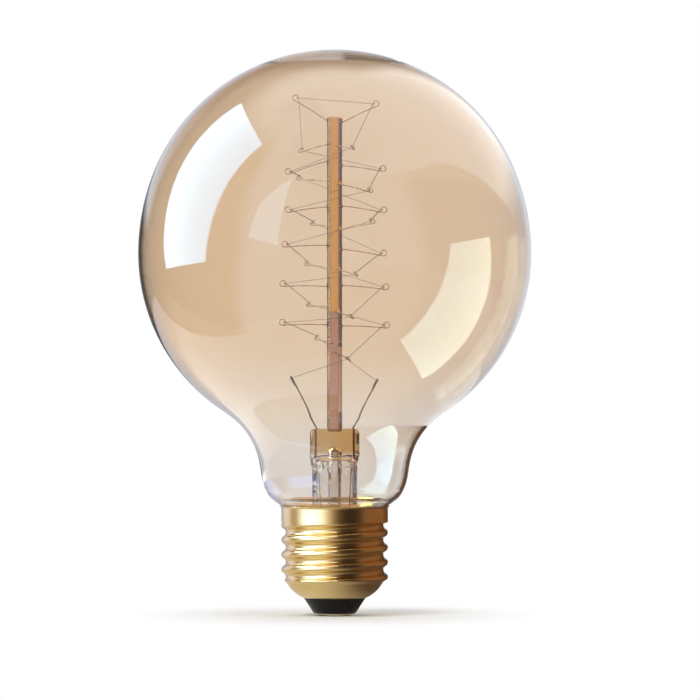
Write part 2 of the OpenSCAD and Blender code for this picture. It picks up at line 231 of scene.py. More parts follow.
def wire(path: Iterable[Vector], radius: float, resolution: int = 2) -> bmesh.types.BMesh:
    """Draws a round wire along a path.

    Args:
        path: The points of the wire's middle, in millimetres.
        radius: The wire's radius in millimetres.
        resolution: How round it is: it has four sides and two more for each step.

    Returns:
        A closed mesh in metres.
    """
    points = list(path)
    curve = bpy.data.curves.new("wire", "CURVE")
    curve.dimensions = "3D"
    curve.bevel_depth = radius * MM
    curve.bevel_resolution = resolution
    curve.use_fill_caps = True
    spline = curve.splines.new("POLY")
    spline.points.add(len(points) - 1)
    for place, point in zip(spline.points, points):
        place.co = (*(point * MM), 1)
    drawn = bpy.data.objects.new("wire", curve)
    mesh = bpy.data.meshes.new_from_object(drawn)
    bm = bmesh.new()
    bm.from_mesh(mesh)
    bmesh.ops.remove_doubles(bm, verts=bm.verts, dist=MERGE)
    bmesh.ops.recalc_face_normals(bm, faces=bm.faces)
    bpy.data.objects.remove(drawn)
    bpy.data.curves.remove(curve)
    bpy.data.meshes.remove(mesh)
    return bm


def move_verts(bm: bmesh.types.BMesh, place: Callable[[Vector], Vector]) -> None:
    """Moves each vertex to the place that a function gives it, in millimetres."""
    for vert in bm.verts:
        vert.co = place(vert.co / MM) * MM


def widened(point: Vector, lift: float) -> Vector:
    """Returns a point moved away from the axis by a length."""
    share = 1 + lift / math.hypot(point.x, point.y)
    return Vector((point.x * share, point.y * share, point.z))


def added(name: str, data: bpy.types.ID) -> bpy.types.Object:
    """Adds an object with its data to the scene.

    Args:
        name: The object's name.
        data: Its mesh, light or camera.

    Returns:
        The object.
    """
    made = bpy.data.objects.new(name, data)
    bpy.context.scene.collection.objects.link(made)
    return made


def meshed(bm: bmesh.types.BMesh, name: str, material: bpy.types.Material) -> bpy.types.Object:
    """Adds an object of a mesh to the scene.

    Args:
        bm: The mesh in metres, which is used up.
        name: The object's name.
        material: Its material.

    Returns:
        The object.
    """
    mesh = bpy.data.meshes.new(name)
    bm.to_mesh(mesh)
    bm.free()
    mesh.materials.append(material)
    return added(name, mesh)


def finished(bm: bmesh.types.BMesh, node: str, finish: Finish, sharp: float = 40.0) -> None:
    """Makes a piece of a mesh, dresses it, hangs it on the root body and hides a node of the
    frame.

    Args:
        bm: The piece's mesh in metres, which is used up.
        node: The frame's node that it hides, whose name the piece takes.
        finish: The finish.
        sharp: Edges that turn more degrees than this are drawn sharp.
    """
    piece = meshed(bm, f"{node}_fine", finish.material())
    piece.data.shade_smooth()
    piece.data.set_sharp_from_angle(angle=math.radians(sharp))
    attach(piece, "root")
    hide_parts(node)
    log.info("%s: %d faces", piece.name, len(piece.data.polygons))


class Canvas:
    """A node tree with short ways to add and join nodes."""

    def __init__(self, tree: bpy.types.NodeTree) -> None:
        """Keeps the tree."""
        self.tree = tree

    def node(self, kind: str, **settings: object) -> bpy.types.Node:
        """Adds a node and sets its properties.

        Args:
            kind: The node's type.
            settings: Its properties, by their names.

        Returns:
            The node.
        """
        made = self.tree.nodes.new(kind)
        for name, value in settings.items():
            setattr(made, name, value)
        return made

    def feed(self, socket: bpy.types.NodeSocket, value: object) -> None:
        """Joins a socket to an output, or sets it to a number or colour.

        Args:
            socket: The socket, an input.
            value: The output, or the number or colour.
        """
        if isinstance(value, bpy.types.NodeSocket):
            self.tree.links.new(value, socket)
        elif isinstance(value, tuple) and socket.type == "RGBA":
            socket.default_value = (*value, 1.0)
        else:
            socket.default_value = value

    def fill(self, node: bpy.types.Node, values: dict[str | int, object]) -> bpy.types.Node:
        """Feeds several inputs of a node.

        Args:
            node: The node.
            values: What each input takes, by its name or number.

        Returns:
            The node itself.
        """
        for name, value in values.items():
            self.feed(node.inputs[name], value)
        return node

    def math(self, operation: str, a: object, b: object = 0.0) -> bpy.types.NodeSocket:
        """Adds a sum, or another operation, of two numbers."""
        made = self.node("ShaderNodeMath", operation=operation)
        return self.fill(made, {0: a, 1: b}).outputs[0]

    def ramp(self, value: object, low: float, high: float, start: float = 0.0,
             end: float = 1.0) -> bpy.types.NodeSocket:
        """Adds a smooth step.

        Args:
            value: The number that it follows.
            low: The number at which it begins.
            high: The number at which it ends.
            start: What it gives up to low.
            end: What it gives from high on.

        Returns:
            What it gives at the number.
        """
        made = self.node("ShaderNodeMapRange", interpolation_type="SMOOTHSTEP")
        return self.fill(made, {"Value": value, "From Min": low, "From Max": high,
                                "To Min": start, "To Max": end}).outputs["Result"]

    def mix(self, factor: object, a: object, b: object,
            blend: str = "MIX") -> bpy.types.NodeSocket:
        """Adds a mix of two colours."""
        made = self.node("ShaderNodeMix", data_type="RGBA", blend_type=blend)
        return self.fill(made, {0: factor, 6: a, 7: b}).outputs[2]

    def cloud(self, at: object, scale: float, detail: float = 3.0) -> bpy.types.NodeSocket:
        """Adds a soft noise over coordinates in metres."""
        made = self.node("ShaderNodeTexNoise")
        return self.fill(made, {"Vector": at, "Scale": scale, "Detail": detail}).outputs["Fac"]

    def stops(self, share: object, given: Sequence[tuple[float, Colour]],
              low: float, high: float) -> bpy.types.NodeSocket:
        """Adds a run of colours along a number.

        Args:
            share: The number.
            given: Each stop's place and colour, in order.
            low: The number at which the run starts.
            high: The number at which it ends.

        Returns:
            The colour at the number.
        """
        made = self.node("ShaderNodeValToRGB")
        run = self.fill(self.node("ShaderNodeMapRange"),
                        {"Value": share, "From Min": low, "From Max": high})
        self.feed(made.inputs[0], run.outputs["Result"])
        ramp = made.color_ramp
        while len(ramp.elements) < len(given):
            ramp.elements.new(1.0)
        for element, (at, colour) in zip(ramp.elements, given):
            element.position = (at - low) / (high - low)
            element.color = (*colour, 1.0)
        return made.outputs["Color"]

    def place(self, stretch: Point3 = (1, 1, 1)) -> bpy.types.NodeSocket:
        """Adds the piece's own coordinates, stretched along each axis.

        Args:
            stretch: The factor along each axis.

        Returns:
            The coordinates.
        """
        source = self.node("ShaderNodeTexCoord").outputs["Object"]
        made = self.node("ShaderNodeMapping")
        return self.fill(made, {"Vector": source, "Scale": stretch}).outputs["Vector"]

    def axis(self, vector: object, name: str) -> bpy.types.NodeSocket:
        """Adds one component of a vector."""
        return self.fill(self.node("ShaderNodeSeparateXYZ"), {0: vector}).outputs[name]

    def surface(self, share: object, first: bpy.types.Node, second: bpy.types.Node) -> None:
        """Ends a material with a mix of two shaders.

        Args:
            share: The second one's share.
            first: The first shader.
            second: The second shader.
        """
        both = self.fill(self.node("ShaderNodeMixShader"),
                         {0: share, 1: first.outputs[0], 2: second.outputs[0]})
        self.feed(self.tree.nodes["Material Output"].inputs["Surface"], both.outputs[0])


@dataclass(frozen=True)
class Pattern:
    """A shader node group that several finishes share.

    Attributes:
        name: The group's name.
        fine: Scale of the finer noise, per metre.
        coarse: Scale of the coarser noise, per metre.
        share: How much of the height comes from the coarser noise.
        marks: Values of the coarser noise between which the mask goes from 0 to 1.
    """

    name: str
    fine: float
    coarse: float
    share: float
    marks: Point2 = (0.35, 0.65)

    def tree(self) -> bpy.types.NodeTree:
        """Builds the node group, unless it is there already.

        Returns:
            The group.
        """
        if self.name in bpy.data.node_groups:
            return bpy.data.node_groups[self.name]
        tree = bpy.data.node_groups.new(self.name, "ShaderNodeTree")
        tree.interface.new_socket("Place", in_out="INPUT", socket_type="NodeSocketVector")
        tree.interface.new_socket("Mask", in_out="OUTPUT", socket_type="NodeSocketFloat")
        tree.interface.new_socket("Height", in_out="OUTPUT", socket_type="NodeSocketFloat")
        canvas = Canvas(tree)
        given = canvas.node("NodeGroupInput").outputs["Place"]
        fine = canvas.cloud(given, self.fine)
        coarse = canvas.cloud(given, self.coarse, 2.0)
        height = canvas.math("ADD", canvas.math("MULTIPLY", coarse, self.share),
                             canvas.math("MULTIPLY", fine, 1 - self.share))
        canvas.fill(canvas.node("NodeGroupOutput"),
                    {"Mask": canvas.ramp(coarse, *self.marks), "Height": height})
        return tree

    def placed(self, canvas: Canvas, stretch: Point3 = (1, 1, 1)) -> bpy.types.Node:
        """Puts the group into a material over the piece's own coordinates."""
        made = canvas.node("ShaderNodeGroup", node_tree=self.tree())
        return canvas.fill(made, {"Place": canvas.place(stretch)})


GLASS_WAVES = Pattern("glass_waves", fine=160.0, coarse=45.0, share=0.8)
ROLLED_METAL = Pattern("rolled_metal", fine=2600.0, coarse=260.0, share=0.3)
DRAWN_WIRE = Pattern("drawn_wire", fine=5200.0, coarse=620.0, share=0.4)
CAST_GRAIN = Pattern("cast_grain", fine=3400.0, coarse=700.0, share=0.5)


@dataclass(frozen=True)
class Finish:
    """What every finish has: a name and the record's slot."""

    name: str
    slot: str

    def material(self) -> bpy.types.Material:
        """Makes the finish's material, unless it is there already.

        Returns:
            The material.
        """
        if self.name in bpy.data.materials:
            return bpy.data.materials[self.name]
        made = bpy.data.materials.new(self.name)
        made.use_nodes = True
        canvas = Canvas(made.node_tree)
        self.paint(canvas, made.node_tree.nodes["Principled BSDF"])
        return made

    def paint(self, canvas: Canvas, shader: bpy.types.Node) -> None:
        """Sets up the shader; each kind of finish has its own."""
        raise NotImplementedError


def bump(canvas: Canvas, height: object, strength: object,
         distance: float) -> bpy.types.NodeSocket:
    """Adds a bump.

    Args:
        canvas: The material's canvas.
        height: The output that gives the height.
        strength: The bump's strength, or an output that gives it.
        distance: The height's full range in millimetres.

    Returns:
        The bent normal.
    """
    made = canvas.fill(canvas.node("ShaderNodeBump"),
                       {"Strength": strength, "Distance": distance * MM, "Height": height})
    return made.outputs["Normal"]


@dataclass(frozen=True)
class GlassFinish(Finish):
    """Clear glass whose tint changes with height, with painted shade where it is seen edge on.

    Attributes:
        low: Colour of light after both faces, at the lower height and below.
        high: The same at the upper height and above.
        fade: The lower and upper height in millimetres.
        edge: What the colour is multiplied by where the glass is seen edge on: painted shade.
        edge_from: The facing value where that begins.
        edge_to: The facing value where that is complete.
        waves: Strength of the glass's waviness at the upper height and above.
        waves_low: The same at the lower height and below.
        relief: Depth of the waves in millimetres, at a strength of 1.
        shade: Colour of the shadow it casts.
        lustre: Colour of its reflections.
        ior: Index of refraction.
    """

    low: Colour = (0.9, 0.88, 0.85)
    high: Colour = (0.9, 0.88, 0.85)
    fade: Point2 = (0.0, 1.0)
    edge: Colour = (0.6, 0.5, 0.42)
    edge_from: float = 0.6
    edge_to: float = 1.0
    waves: float = 0.2
    waves_low: float = 0.2
    relief: float = 0.3
    shade: Colour = (0.97, 0.95, 0.92)
    lustre: Colour = WHITE
    ior: float = 1.5

    def paint(self, canvas: Canvas, shader: bpy.types.Node) -> None:
        """Sets up clear glass that lets lamps through.

        Args:
            canvas: The material's canvas.
            shader: Its Principled shader.
        """
        waves = GLASS_WAVES.placed(canvas)
        height = canvas.axis(canvas.place(), "Z")
        low, high = (z * MM for z in self.fade)
        tint = canvas.mix(canvas.ramp(height, low, high), self.low, self.high)
        # Painted shade: the colour darkens where the glass is seen edge on, in place of the dark
        # surroundings that its edges refract.
        facing = canvas.fill(canvas.node("ShaderNodeLayerWeight"), {"Blend": 0.5})
        rim = canvas.ramp(facing.outputs["Facing"], self.edge_from, self.edge_to)
        darker = canvas.mix(1.0, tint, self.edge, "MULTIPLY")
        strength = canvas.ramp(height, low, high, self.waves_low, self.waves)
        canvas.fill(shader, {
            "Base Color": canvas.mix(rim, tint, darker), "Roughness": 0.0, "IOR": self.ior,
            "Transmission Weight": 1.0, "Specular Tint": self.lustre,
            "Normal": bump(canvas, waves.outputs["Height"], strength, self.relief)})
        clear = canvas.fill(canvas.node("ShaderNodeBsdfTransparent"), {"Color": self.shade})
        shadow = canvas.node("ShaderNodeLightPath").outputs["Is Shadow Ray"]
        canvas.surface(shadow, shader, clear)


@dataclass(frozen=True)
class MetalFinish(Finish):
    """Metal with a fine surface pattern and slight changes of colour.

    Attributes:
        colour: The metal's colour.
        worn: Its colour in the pattern's darker places.
        rough: Roughness in the smoother and the rougher places.
        pattern: The shared pattern.
        stretch: How the pattern is stretched along each axis.
        relief: Depth of the pattern in millimetres.
        strength: How strongly that shows.
        metallic: How much of it is metal.
    """

    colour: Colour = (0.8, 0.8, 0.8)
    worn: Colour = (0.6, 0.6, 0.6)
    rough: Point2 = (0.2, 0.3)
    pattern: Pattern = ROLLED_METAL
    stretch: Point3 = (1, 1, 1)
    relief: float = 0.01
    strength: float = 0.35
    metallic: float = 1.0

    def paint(self, canvas: Canvas, shader: bpy.types.Node) -> None:
        """Sets up metal.

        Args:
            canvas: The material's canvas.
            shader: Its Principled shader.
        """
        marks = self.pattern.placed(canvas, self.stretch)
        mask = marks.outputs["Mask"]
        canvas.fill(shader, {
            "Base Color": canvas.mix(mask, self.colour, self.worn), "Metallic": self.metallic,
            "Roughness": canvas.ramp(mask, 0.0, 1.0, *self.rough),
            "Normal": bump(canvas, marks.outputs["Height"], self.strength, self.relief)})


@dataclass(frozen=True)
class MineralFinish(Finish):
    """Opaque glass or cement with a cast grain.

    Attributes:
        colour: The main colour.
        speck: The colour of its specks.
        rough: Roughness in the smoother and the rougher places.
        relief: Depth of the grain in millimetres.
        strength: How strongly that shows.
        shine: Level of its reflections.
    """

    colour: Colour = (0.5, 0.5, 0.5)
    speck: Colour = (0.4, 0.4, 0.4)
    rough: Point2 = (0.3, 0.5)
    relief: float = 0.02
    strength: float = 0.5
    shine: float = 0.2

    def paint(self, canvas: Canvas, shader: bpy.types.Node) -> None:
        """Sets up an opaque cast material.

        Args:
            canvas: The material's canvas.
            shader: Its Principled shader.
        """
        grain = CAST_GRAIN.placed(canvas)
        mask = grain.outputs["Mask"]
        canvas.fill(shader, {
            "Base Color": canvas.mix(mask, self.colour, self.speck),
            "Roughness": canvas.ramp(mask, 0.0, 1.0, *self.rough),
            "Specular IOR Level": self.shine,
            "Normal": bump(canvas, grain.outputs["Height"], self.strength, self.relief)})


# The globe's tint by height is the glass's own colour; its darker edge colour is painted shade.
AMBER_GLASS = GlassFinish("amber_lustre_glass", "amber_glass", low=(0.84, 0.8, 0.765),
                          high=(0.842, 0.72, 0.582), fade=(33, 70), edge=(0.85, 0.74, 0.64),
                          edge_from=0.8, waves=0.05, waves_low=0.2, shade=(0.97, 0.95, 0.91),
                          lustre=(0.4, 0.68, 1.0))
# The stem's gold tint over the press is a painted reflection of the brass cap and the amber globe
# round it, and its darker edge colour is painted shade; below the press the tint is the glass's
# own.
STEM_GLASS = GlassFinish("stem_lead_glass", "stem_glass", low=(0.93, 0.9, 0.87),
                         high=(0.66, 0.45, 0.2), fade=(38.6, 40.6), edge=(0.4, 0.3, 0.22),
                         edge_from=0.3, edge_to=0.85, waves=0.3, waves_low=0.3,
                         lustre=(0.8, 0.75, 0.7))
# The rod's two tints, pinkish-brown below and amber above, are a painted reflection of the
# surroundings that the clear rod refracts, and its darker edge colour is painted shade.
ROD_GLASS = GlassFinish("rod_glass_painted_tint", "rod_glass", low=(0.55, 0.35, 0.27),
                        high=(0.8, 0.5, 0.12), fade=(73.9, 74.5), edge=(0.42, 0.34, 0.24),
                        edge_from=0.2, edge_to=0.62, waves=0.1, waves_low=0.1,
                        lustre=(0.6, 0.45, 0.3))
FILAMENT_WIRE = MetalFinish("filament_coil_wire", "filament_wire", colour=(0.2, 0.17, 0.15),
                            worn=(0.12, 0.1, 0.09), rough=(0.45, 0.6), pattern=DRAWN_WIRE,
                            relief=0.002, metallic=0.7)
LEAD_WIRE = MetalFinish("lead_nickel_wire", "lead_wire", colour=(0.34, 0.24, 0.16),
                        worn=(0.16, 0.11, 0.08), rough=(0.35, 0.55), pattern=DRAWN_WIRE,
                        stretch=(1, 1, 0.2), relief=0.006, metallic=0.8)
SEAL_WIRE = MetalFinish("seal_copper_wire", "seal_wire", colour=(0.45, 0.16, 0.1),
                        worn=(0.28, 0.1, 0.07), rough=(0.3, 0.45), pattern=DRAWN_WIRE,
                        stretch=(1, 1, 0.2), relief=0.004)
SUPPORT_WIRE = MetalFinish("support_drawn_wire", "support_wire", colour=(0.75, 0.55, 0.38),
                           worn=(0.48, 0.34, 0.23), rough=(0.4, 0.6), pattern=DRAWN_WIRE,
                           relief=0.003, metallic=0.3)
COPPER_WIRE = MetalFinish("outer_copper_wire", "copper_wire", colour=(0.72, 0.38, 0.22),
                          worn=(0.5, 0.24, 0.14), rough=(0.25, 0.4), pattern=DRAWN_WIRE,
                          stretch=(1, 1, 0.3), relief=0.004)
BRASS = MetalFinish("rolled_cap_brass", "cap_brass", colour=(0.84, 0.64, 0.31),
                    worn=(0.79, 0.58, 0.26), rough=(0.13, 0.2), pattern=ROLLED_METAL,
                    stretch=(0.25, 0.25, 1), relief=0.006)
SOLDER = MetalFinish("tinned_solder", "solder", colour=(0.68, 0.68, 0.67),
                     worn=(0.5, 0.5, 0.5), rough=(0.25, 0.45), pattern=CAST_GRAIN, relief=0.03)
BLACK_GLASS = MineralFinish("black_insulator_glass", "black_glass", colour=(0.005, 0.0045, 0.0045),
                            speck=(0.009, 0.008, 0.008), rough=(0.32, 0.42), relief=0.02)
CEMENT = MineralFinish("baked_cement", "cement", colour=(0.75, 0.68, 0.55),
                       speck=(0.6, 0.53, 0.42), rough=(0.8, 0.95), relief=0.08)


@dataclass
class Globe:
    """The blown globe and its neck, one wall of glass all the way round.

    Attributes:
        top: Height of the globe's top.
        wall: Thickness of the glass.
        neck: Radius of the plain neck inside the cap.
        neck_low: Height of its lower end.
        heel: Radius of the hollow bend where the foot meets that neck.
        crown: How much thicker the glass is under the top.
        crown_reach: Radius at which that ends.
        ease: How far the changes of curvature are eased, to each side.
        fine: Degrees to a step while the outline is eased.
        pick: One of so many fine steps is kept.
        sides: The number of sides.
        arcs: Bend and turn of each arc, from the top down.
    """

    top: float = 138.4
    wall: float = 0.8
    neck: float = 10.9
    neck_low: float = 16.0
    heel: float = 1.2
    crown: float = 0.6
    crown_reach: float = 17.5
    ease: float = 3.0
    fine: float = 0.25
    pick: int = 8
    sides: int = 192
    arcs: tuple[Point2, ...] = ((47.75, 71), (54.25, 19), (46.2, 58), (-17.6, 46.5),
                                (-32, 7.6), (7.8, 48.7))

    def walked(self, inset: float, step: float) -> Outline:
        """Walks the arcs of the outline, from the top down.

        Args:
            inset: How far inside the glass's outer face it lies.
            step: Degrees to a step.

        Returns:
            The outline, as far as the arcs go.
        """
        path = Outline(0, self.top - inset, step=step)
        for bend, turn in self.arcs:
            path.arc(bend - inset, turn)
        return path

    def line(self, inset: float) -> list[Point2]:
        """Walks the whole outline, from the top down, and eases it.

        Args:
            inset: How far inside the glass's outer face it lies.

        Returns:
            Radius and height of its points.
        """
        path = self.walked(inset, self.fine)
        path.points = softened(path.points, self.ease, self.pick)
        path.step = self.fine * self.pick
        heel_turn = path.heading - 90
        drawn_in = self.heel * (1 - math.cos(math.radians(heel_turn)))
        foot = self.walked(0, path.step).points[-1][0]
        path.run((foot - self.neck - drawn_in) / -math.cos(math.radians(path.heading)))
        path.arc(-self.heel - inset, heel_turn)
        path.to(path.points[-1][0], self.neck_low)
        return path.points

    def build(self) -> None:
        """Makes the glass envelope."""
        inside = [(r, z - self.crown_drop(r, z)) for r, z in self.line(self.wall)]
        finished(turned(self.line(0) + inside[::-1], self.sides), "glass_envelope", AMBER_GLASS)

    def crown_drop(self, r: float, z: float) -> float:
        """Finds how much thicker the glass is at a place under the crown.

        Args:
            r: The place's radius.
            z: Its height.

        Returns:
            The added thickness.
        """
        if z < self.top / 2 or r > self.crown_reach:
            return 0.0
        return self.crown * (1 - (r / self.crown_reach) ** 2) ** 1.5


@dataclass
class Stem:
    """The stem: flare, tube, the flattened press round the wires, and the exhaust tube.

    Attributes:
        tube: Radius of the round tube.
        wall: Thickness of its glass.
        neck_inside: Radius at which the flare meets the neck.
        foot: Height of the flare's lower edge.
        squeeze_low: Height at which the tube begins to flatten.
        squeeze_high: Height from which it is flat.
        top: Height of the press's top.
        width: Width of the press.
        thickness: Its thickness.
        corner: Rounding of its upper edge.
        cavity_low: Height at which the tube's inside begins to close.
        cavity: Share of the bore, and height, of points where it closes.
        cavity_top: Height at which it is closed.
        bubble: Radius of the blown bubble in the press.
        bubble_height: Height of its middle.
        ripple: Depth of the ripples in the hot glass.
        ripple_height: Height at which they are deepest.
        ripple_reach: How far up and down from there they reach.
        exhaust: Radius of the exhaust tube.
        exhaust_wall: Thickness of its wall.
        exhaust_tip: Height of its closed lower end.
        tip_wall: How much higher the middle of the inner rounding lies there.
        play: How far under the cavity's top the exhaust tube ends.
        sides: The number of sides of the stem.
        exhaust_sides: The number of sides of the exhaust tube.
    """

    tube: float = 5.5
    wall: float = 0.9
    neck_inside: float = 10.1
    foot: float = 16.0
    squeeze_low: float = 36.0
    squeeze_high: float = 39.6
    top: float = 46.25
    width: float = 12.1
    thickness: float = 5.6
    corner: float = 1.3
    cavity_low: float = 36.4
    cavity: tuple[Point2, ...] = ((0.98, 37.0), (0.92, 37.6), (0.8, 38.1), (0.6, 38.4),
                                  (0.3, 38.55))
    cavity_top: float = 38.6
    bubble: float = 1.7
    bubble_height: float = 39.8
    ripple: float = 0.45
    ripple_height: float = 37.4
    ripple_reach: float = 3.4
    exhaust: float = 1.6
    exhaust_wall: float = 0.6
    exhaust_tip: float = 11.5
    tip_wall: float = 0.4
    play: float = 0.02
    sides: int = 96
    exhaust_sides: int = 48

    def squeezed(self, point: Vector) -> Vector:
        """Pinches the top of the round tube flat.

        Args:
            point: A point of the tube.

        Returns:
            Where it lies then.
        """
        share = eased((point.z - self.squeeze_low) / (self.squeeze_high - self.squeeze_low))
        reach = math.hypot(point.x, point.y)
        if share == 0 or reach < TINY:
            return point
        across = abs(point.x / reach)
        along = abs(point.y / reach)
        power = 2 + 2 * share
        square = (across ** power + along ** power) ** (-1 / power)
        wide = 1 + (self.width / 2 / self.tube - 1) * share
        thin = 1 + (self.thickness / 2 / self.tube - 1) * share
        return Vector((point.x * square * wide, point.y * square * thin, point.z))

    def rippled(self, point: Vector) -> Vector:
        """Ripples the pinched stem, as hot glass does.

        Args:
            point: A point of the stem.

        Returns:
            Where it lies then.
        """
        near = 1 - abs(point.z - self.ripple_height) / self.ripple_reach
        if near <= 0 or math.hypot(point.x, point.y) < TINY:
            return point
        return widened(point, self.ripple * eased(near) * noise.noise(point * 0.75))

    def outline(self) -> list[Point2]:
        """Walks the stem's outline, from the middle of the top round to the cavity's top.

        Returns:
            Radius and height of its points.
        """
        bend = self.neck_inside - self.tube
        path = Outline(0, self.top)
        path.run(self.tube - self.corner).arc(self.corner, 90)
        path.run(path.points[-1][1] - (self.foot + self.wall + bend), 72)
        path.arc(-bend, 90)
        path.to(self.neck_inside, self.foot)
        path.heading = 180
        path.arc(bend + self.wall, 90)
        bore = self.tube - self.wall
        path.run(self.cavity_low - path.points[-1][1], 48)
        path.points += [(bore * share, z) for share, z in self.cavity]
        return [*path.points, (0, self.cavity_top)]

    def build(self) -> None:
        """Makes the stem with the blown bubble inside its press, and the exhaust tube."""
        bm = turned(self.outline(), self.sides)
        move_verts(bm, self.squeezed)
        move_verts(bm, self.rippled)
        bubble = bmesh.ops.create_uvsphere(bm, u_segments=32, v_segments=20,
                                           radius=self.bubble * MM)["verts"]
        bmesh.ops.translate(bm, verts=bubble, vec=(0, 0, self.bubble_height * MM))
        bmesh.ops.reverse_faces(bm, faces=list({f for v in bubble for f in v.link_faces}))
        finished(bm, "glass_stem", STEM_GLASS, sharp=60)

        bore, top = self.exhaust - self.exhaust_wall, self.cavity_top - self.play
        tip = self.exhaust_tip + self.exhaust
        angles = [math.radians(a) for a in range(0, 91, 10)]
        outer = [(self.exhaust * math.sin(a), tip - self.exhaust * math.cos(a)) for a in angles]
        inner = [(bore * math.sin(a), tip + self.tip_wall - bore * math.cos(a)) for a in angles]
        points = [*outer, (self.exhaust, top), (bore, top), *inner[::-1]]
        finished(turned(points, self.exhaust_sides), "exhaust_tube", STEM_GLASS)


class Side(Enum):
    """The four sides of the cage on which a support stands."""

    LEFT = "left"
    RIGHT = "right"
    BACK = "back"
    FRONT = "front"


@dataclass(frozen=True)
class Eye:
    """The eye at the end of a support wire, with its own three directions.

    Attributes:
        x: The eye's place to the right of the axis.
        height: The eye's height.
        root: Height at which the wire leaves the rod.
        side: The side on which it stands.
        reach: Distance from the axis to the eyes at the back and front.
        radius: Radius of the eye, to the middle of the wire.
        lean: Degrees that the eyes at the back and front lean.
        curl: Degrees that the wire goes round the eye.
        shift: How far a full turn of the wire moves along the eye's axis.
        depth: How deep the wire is melted into the rod.
        stub: How far it goes straight out of the rod.
        arch: How much the arm arches.
        bend: Distance from the eye's middle to the filament's bend.
        side_step: Half the filament's way along the eye's axis.
        steps: The number of steps round the eye.
    """

    x: float
    height: float
    root: float
    side: Side
    reach: float = 11.7
    radius: float = 0.73
    lean: float = 42.0
    curl: float = 325.0
    shift: float = 0.3
    depth: float = 1.1
    stub: float = 0.4
    arch: float = 0.15
    bend: float = 0.28
    side_step: float = 0.4
    steps: int = 24

    @property
    def middle(self) -> Vector:
        """Finds the middle of the eye.

        Returns:
            The point.
        """
        depth = 0.0
        if self.side is Side.BACK:
            depth = math.sqrt(self.reach ** 2 - self.x ** 2)
        elif self.side is Side.FRONT:
            depth = -math.sqrt(self.reach ** 2 - self.x ** 2)
        return Vector((self.x, depth, self.height))

    @property
    def out(self) -> Vector:
        """The direction away from the rod."""
        middle = self.middle
        return Vector((middle.x, middle.y, 0)).normalized()

    @property
    def up(self) -> Vector:
        """The direction up the eye's own plane."""
        lean = math.radians(self.lean if self.side in (Side.BACK, Side.FRONT) else 0)
        return math.cos(lean) * UP - math.sin(lean) * UP.cross(self.out)

    @property
    def axis(self) -> Vector:
        """The direction through the eye."""
        return self.up.cross(self.out)

    def wire_path(self, rod: float) -> list[Vector]:
        """Lays the support wire from inside the rod round the eye.

        Args:
            rod: The rod's radius.

        Returns:
            The points of the wire's middle.
        """
        curl = []
        for i in range(self.steps + 1):
            angle = -90 + self.curl * i / self.steps
            at = math.radians(angle)
            curl.append(self.middle + self.radius * (math.cos(at) * self.out
                                                     + math.sin(at) * self.up)
                        + self.shift * (angle - 180) / 360 * self.axis)
        root = Vector((0, 0, self.root))
        bend = root + (rod + self.stub) * self.out
        arm = [root + (rod - self.depth) * self.out, bend,
               bend + 0.5 * (curl[0] - bend) + self.arch * UP, curl[0]]
        return smooth_path(arm, 6)[:-1] + curl

    def threaded(self, way: float) -> list[Vector]:
        """Bends the filament through the eye.

        Args:
            way: 1 where it passes along the eye's axis, and -1 where it passes against it.

        Returns:
            The points of the bend.
        """
        axis = way * self.axis
        edge = self.middle - self.radius * self.out
        inner = self.middle - self.bend * self.out
        steps = 8
        turns = [math.pi * (i / steps) for i in range(steps + 1)]
        return [edge + self.side_step * math.cos(at) * axis + math.sin(at) * (inner - edge)
                for at in turns]


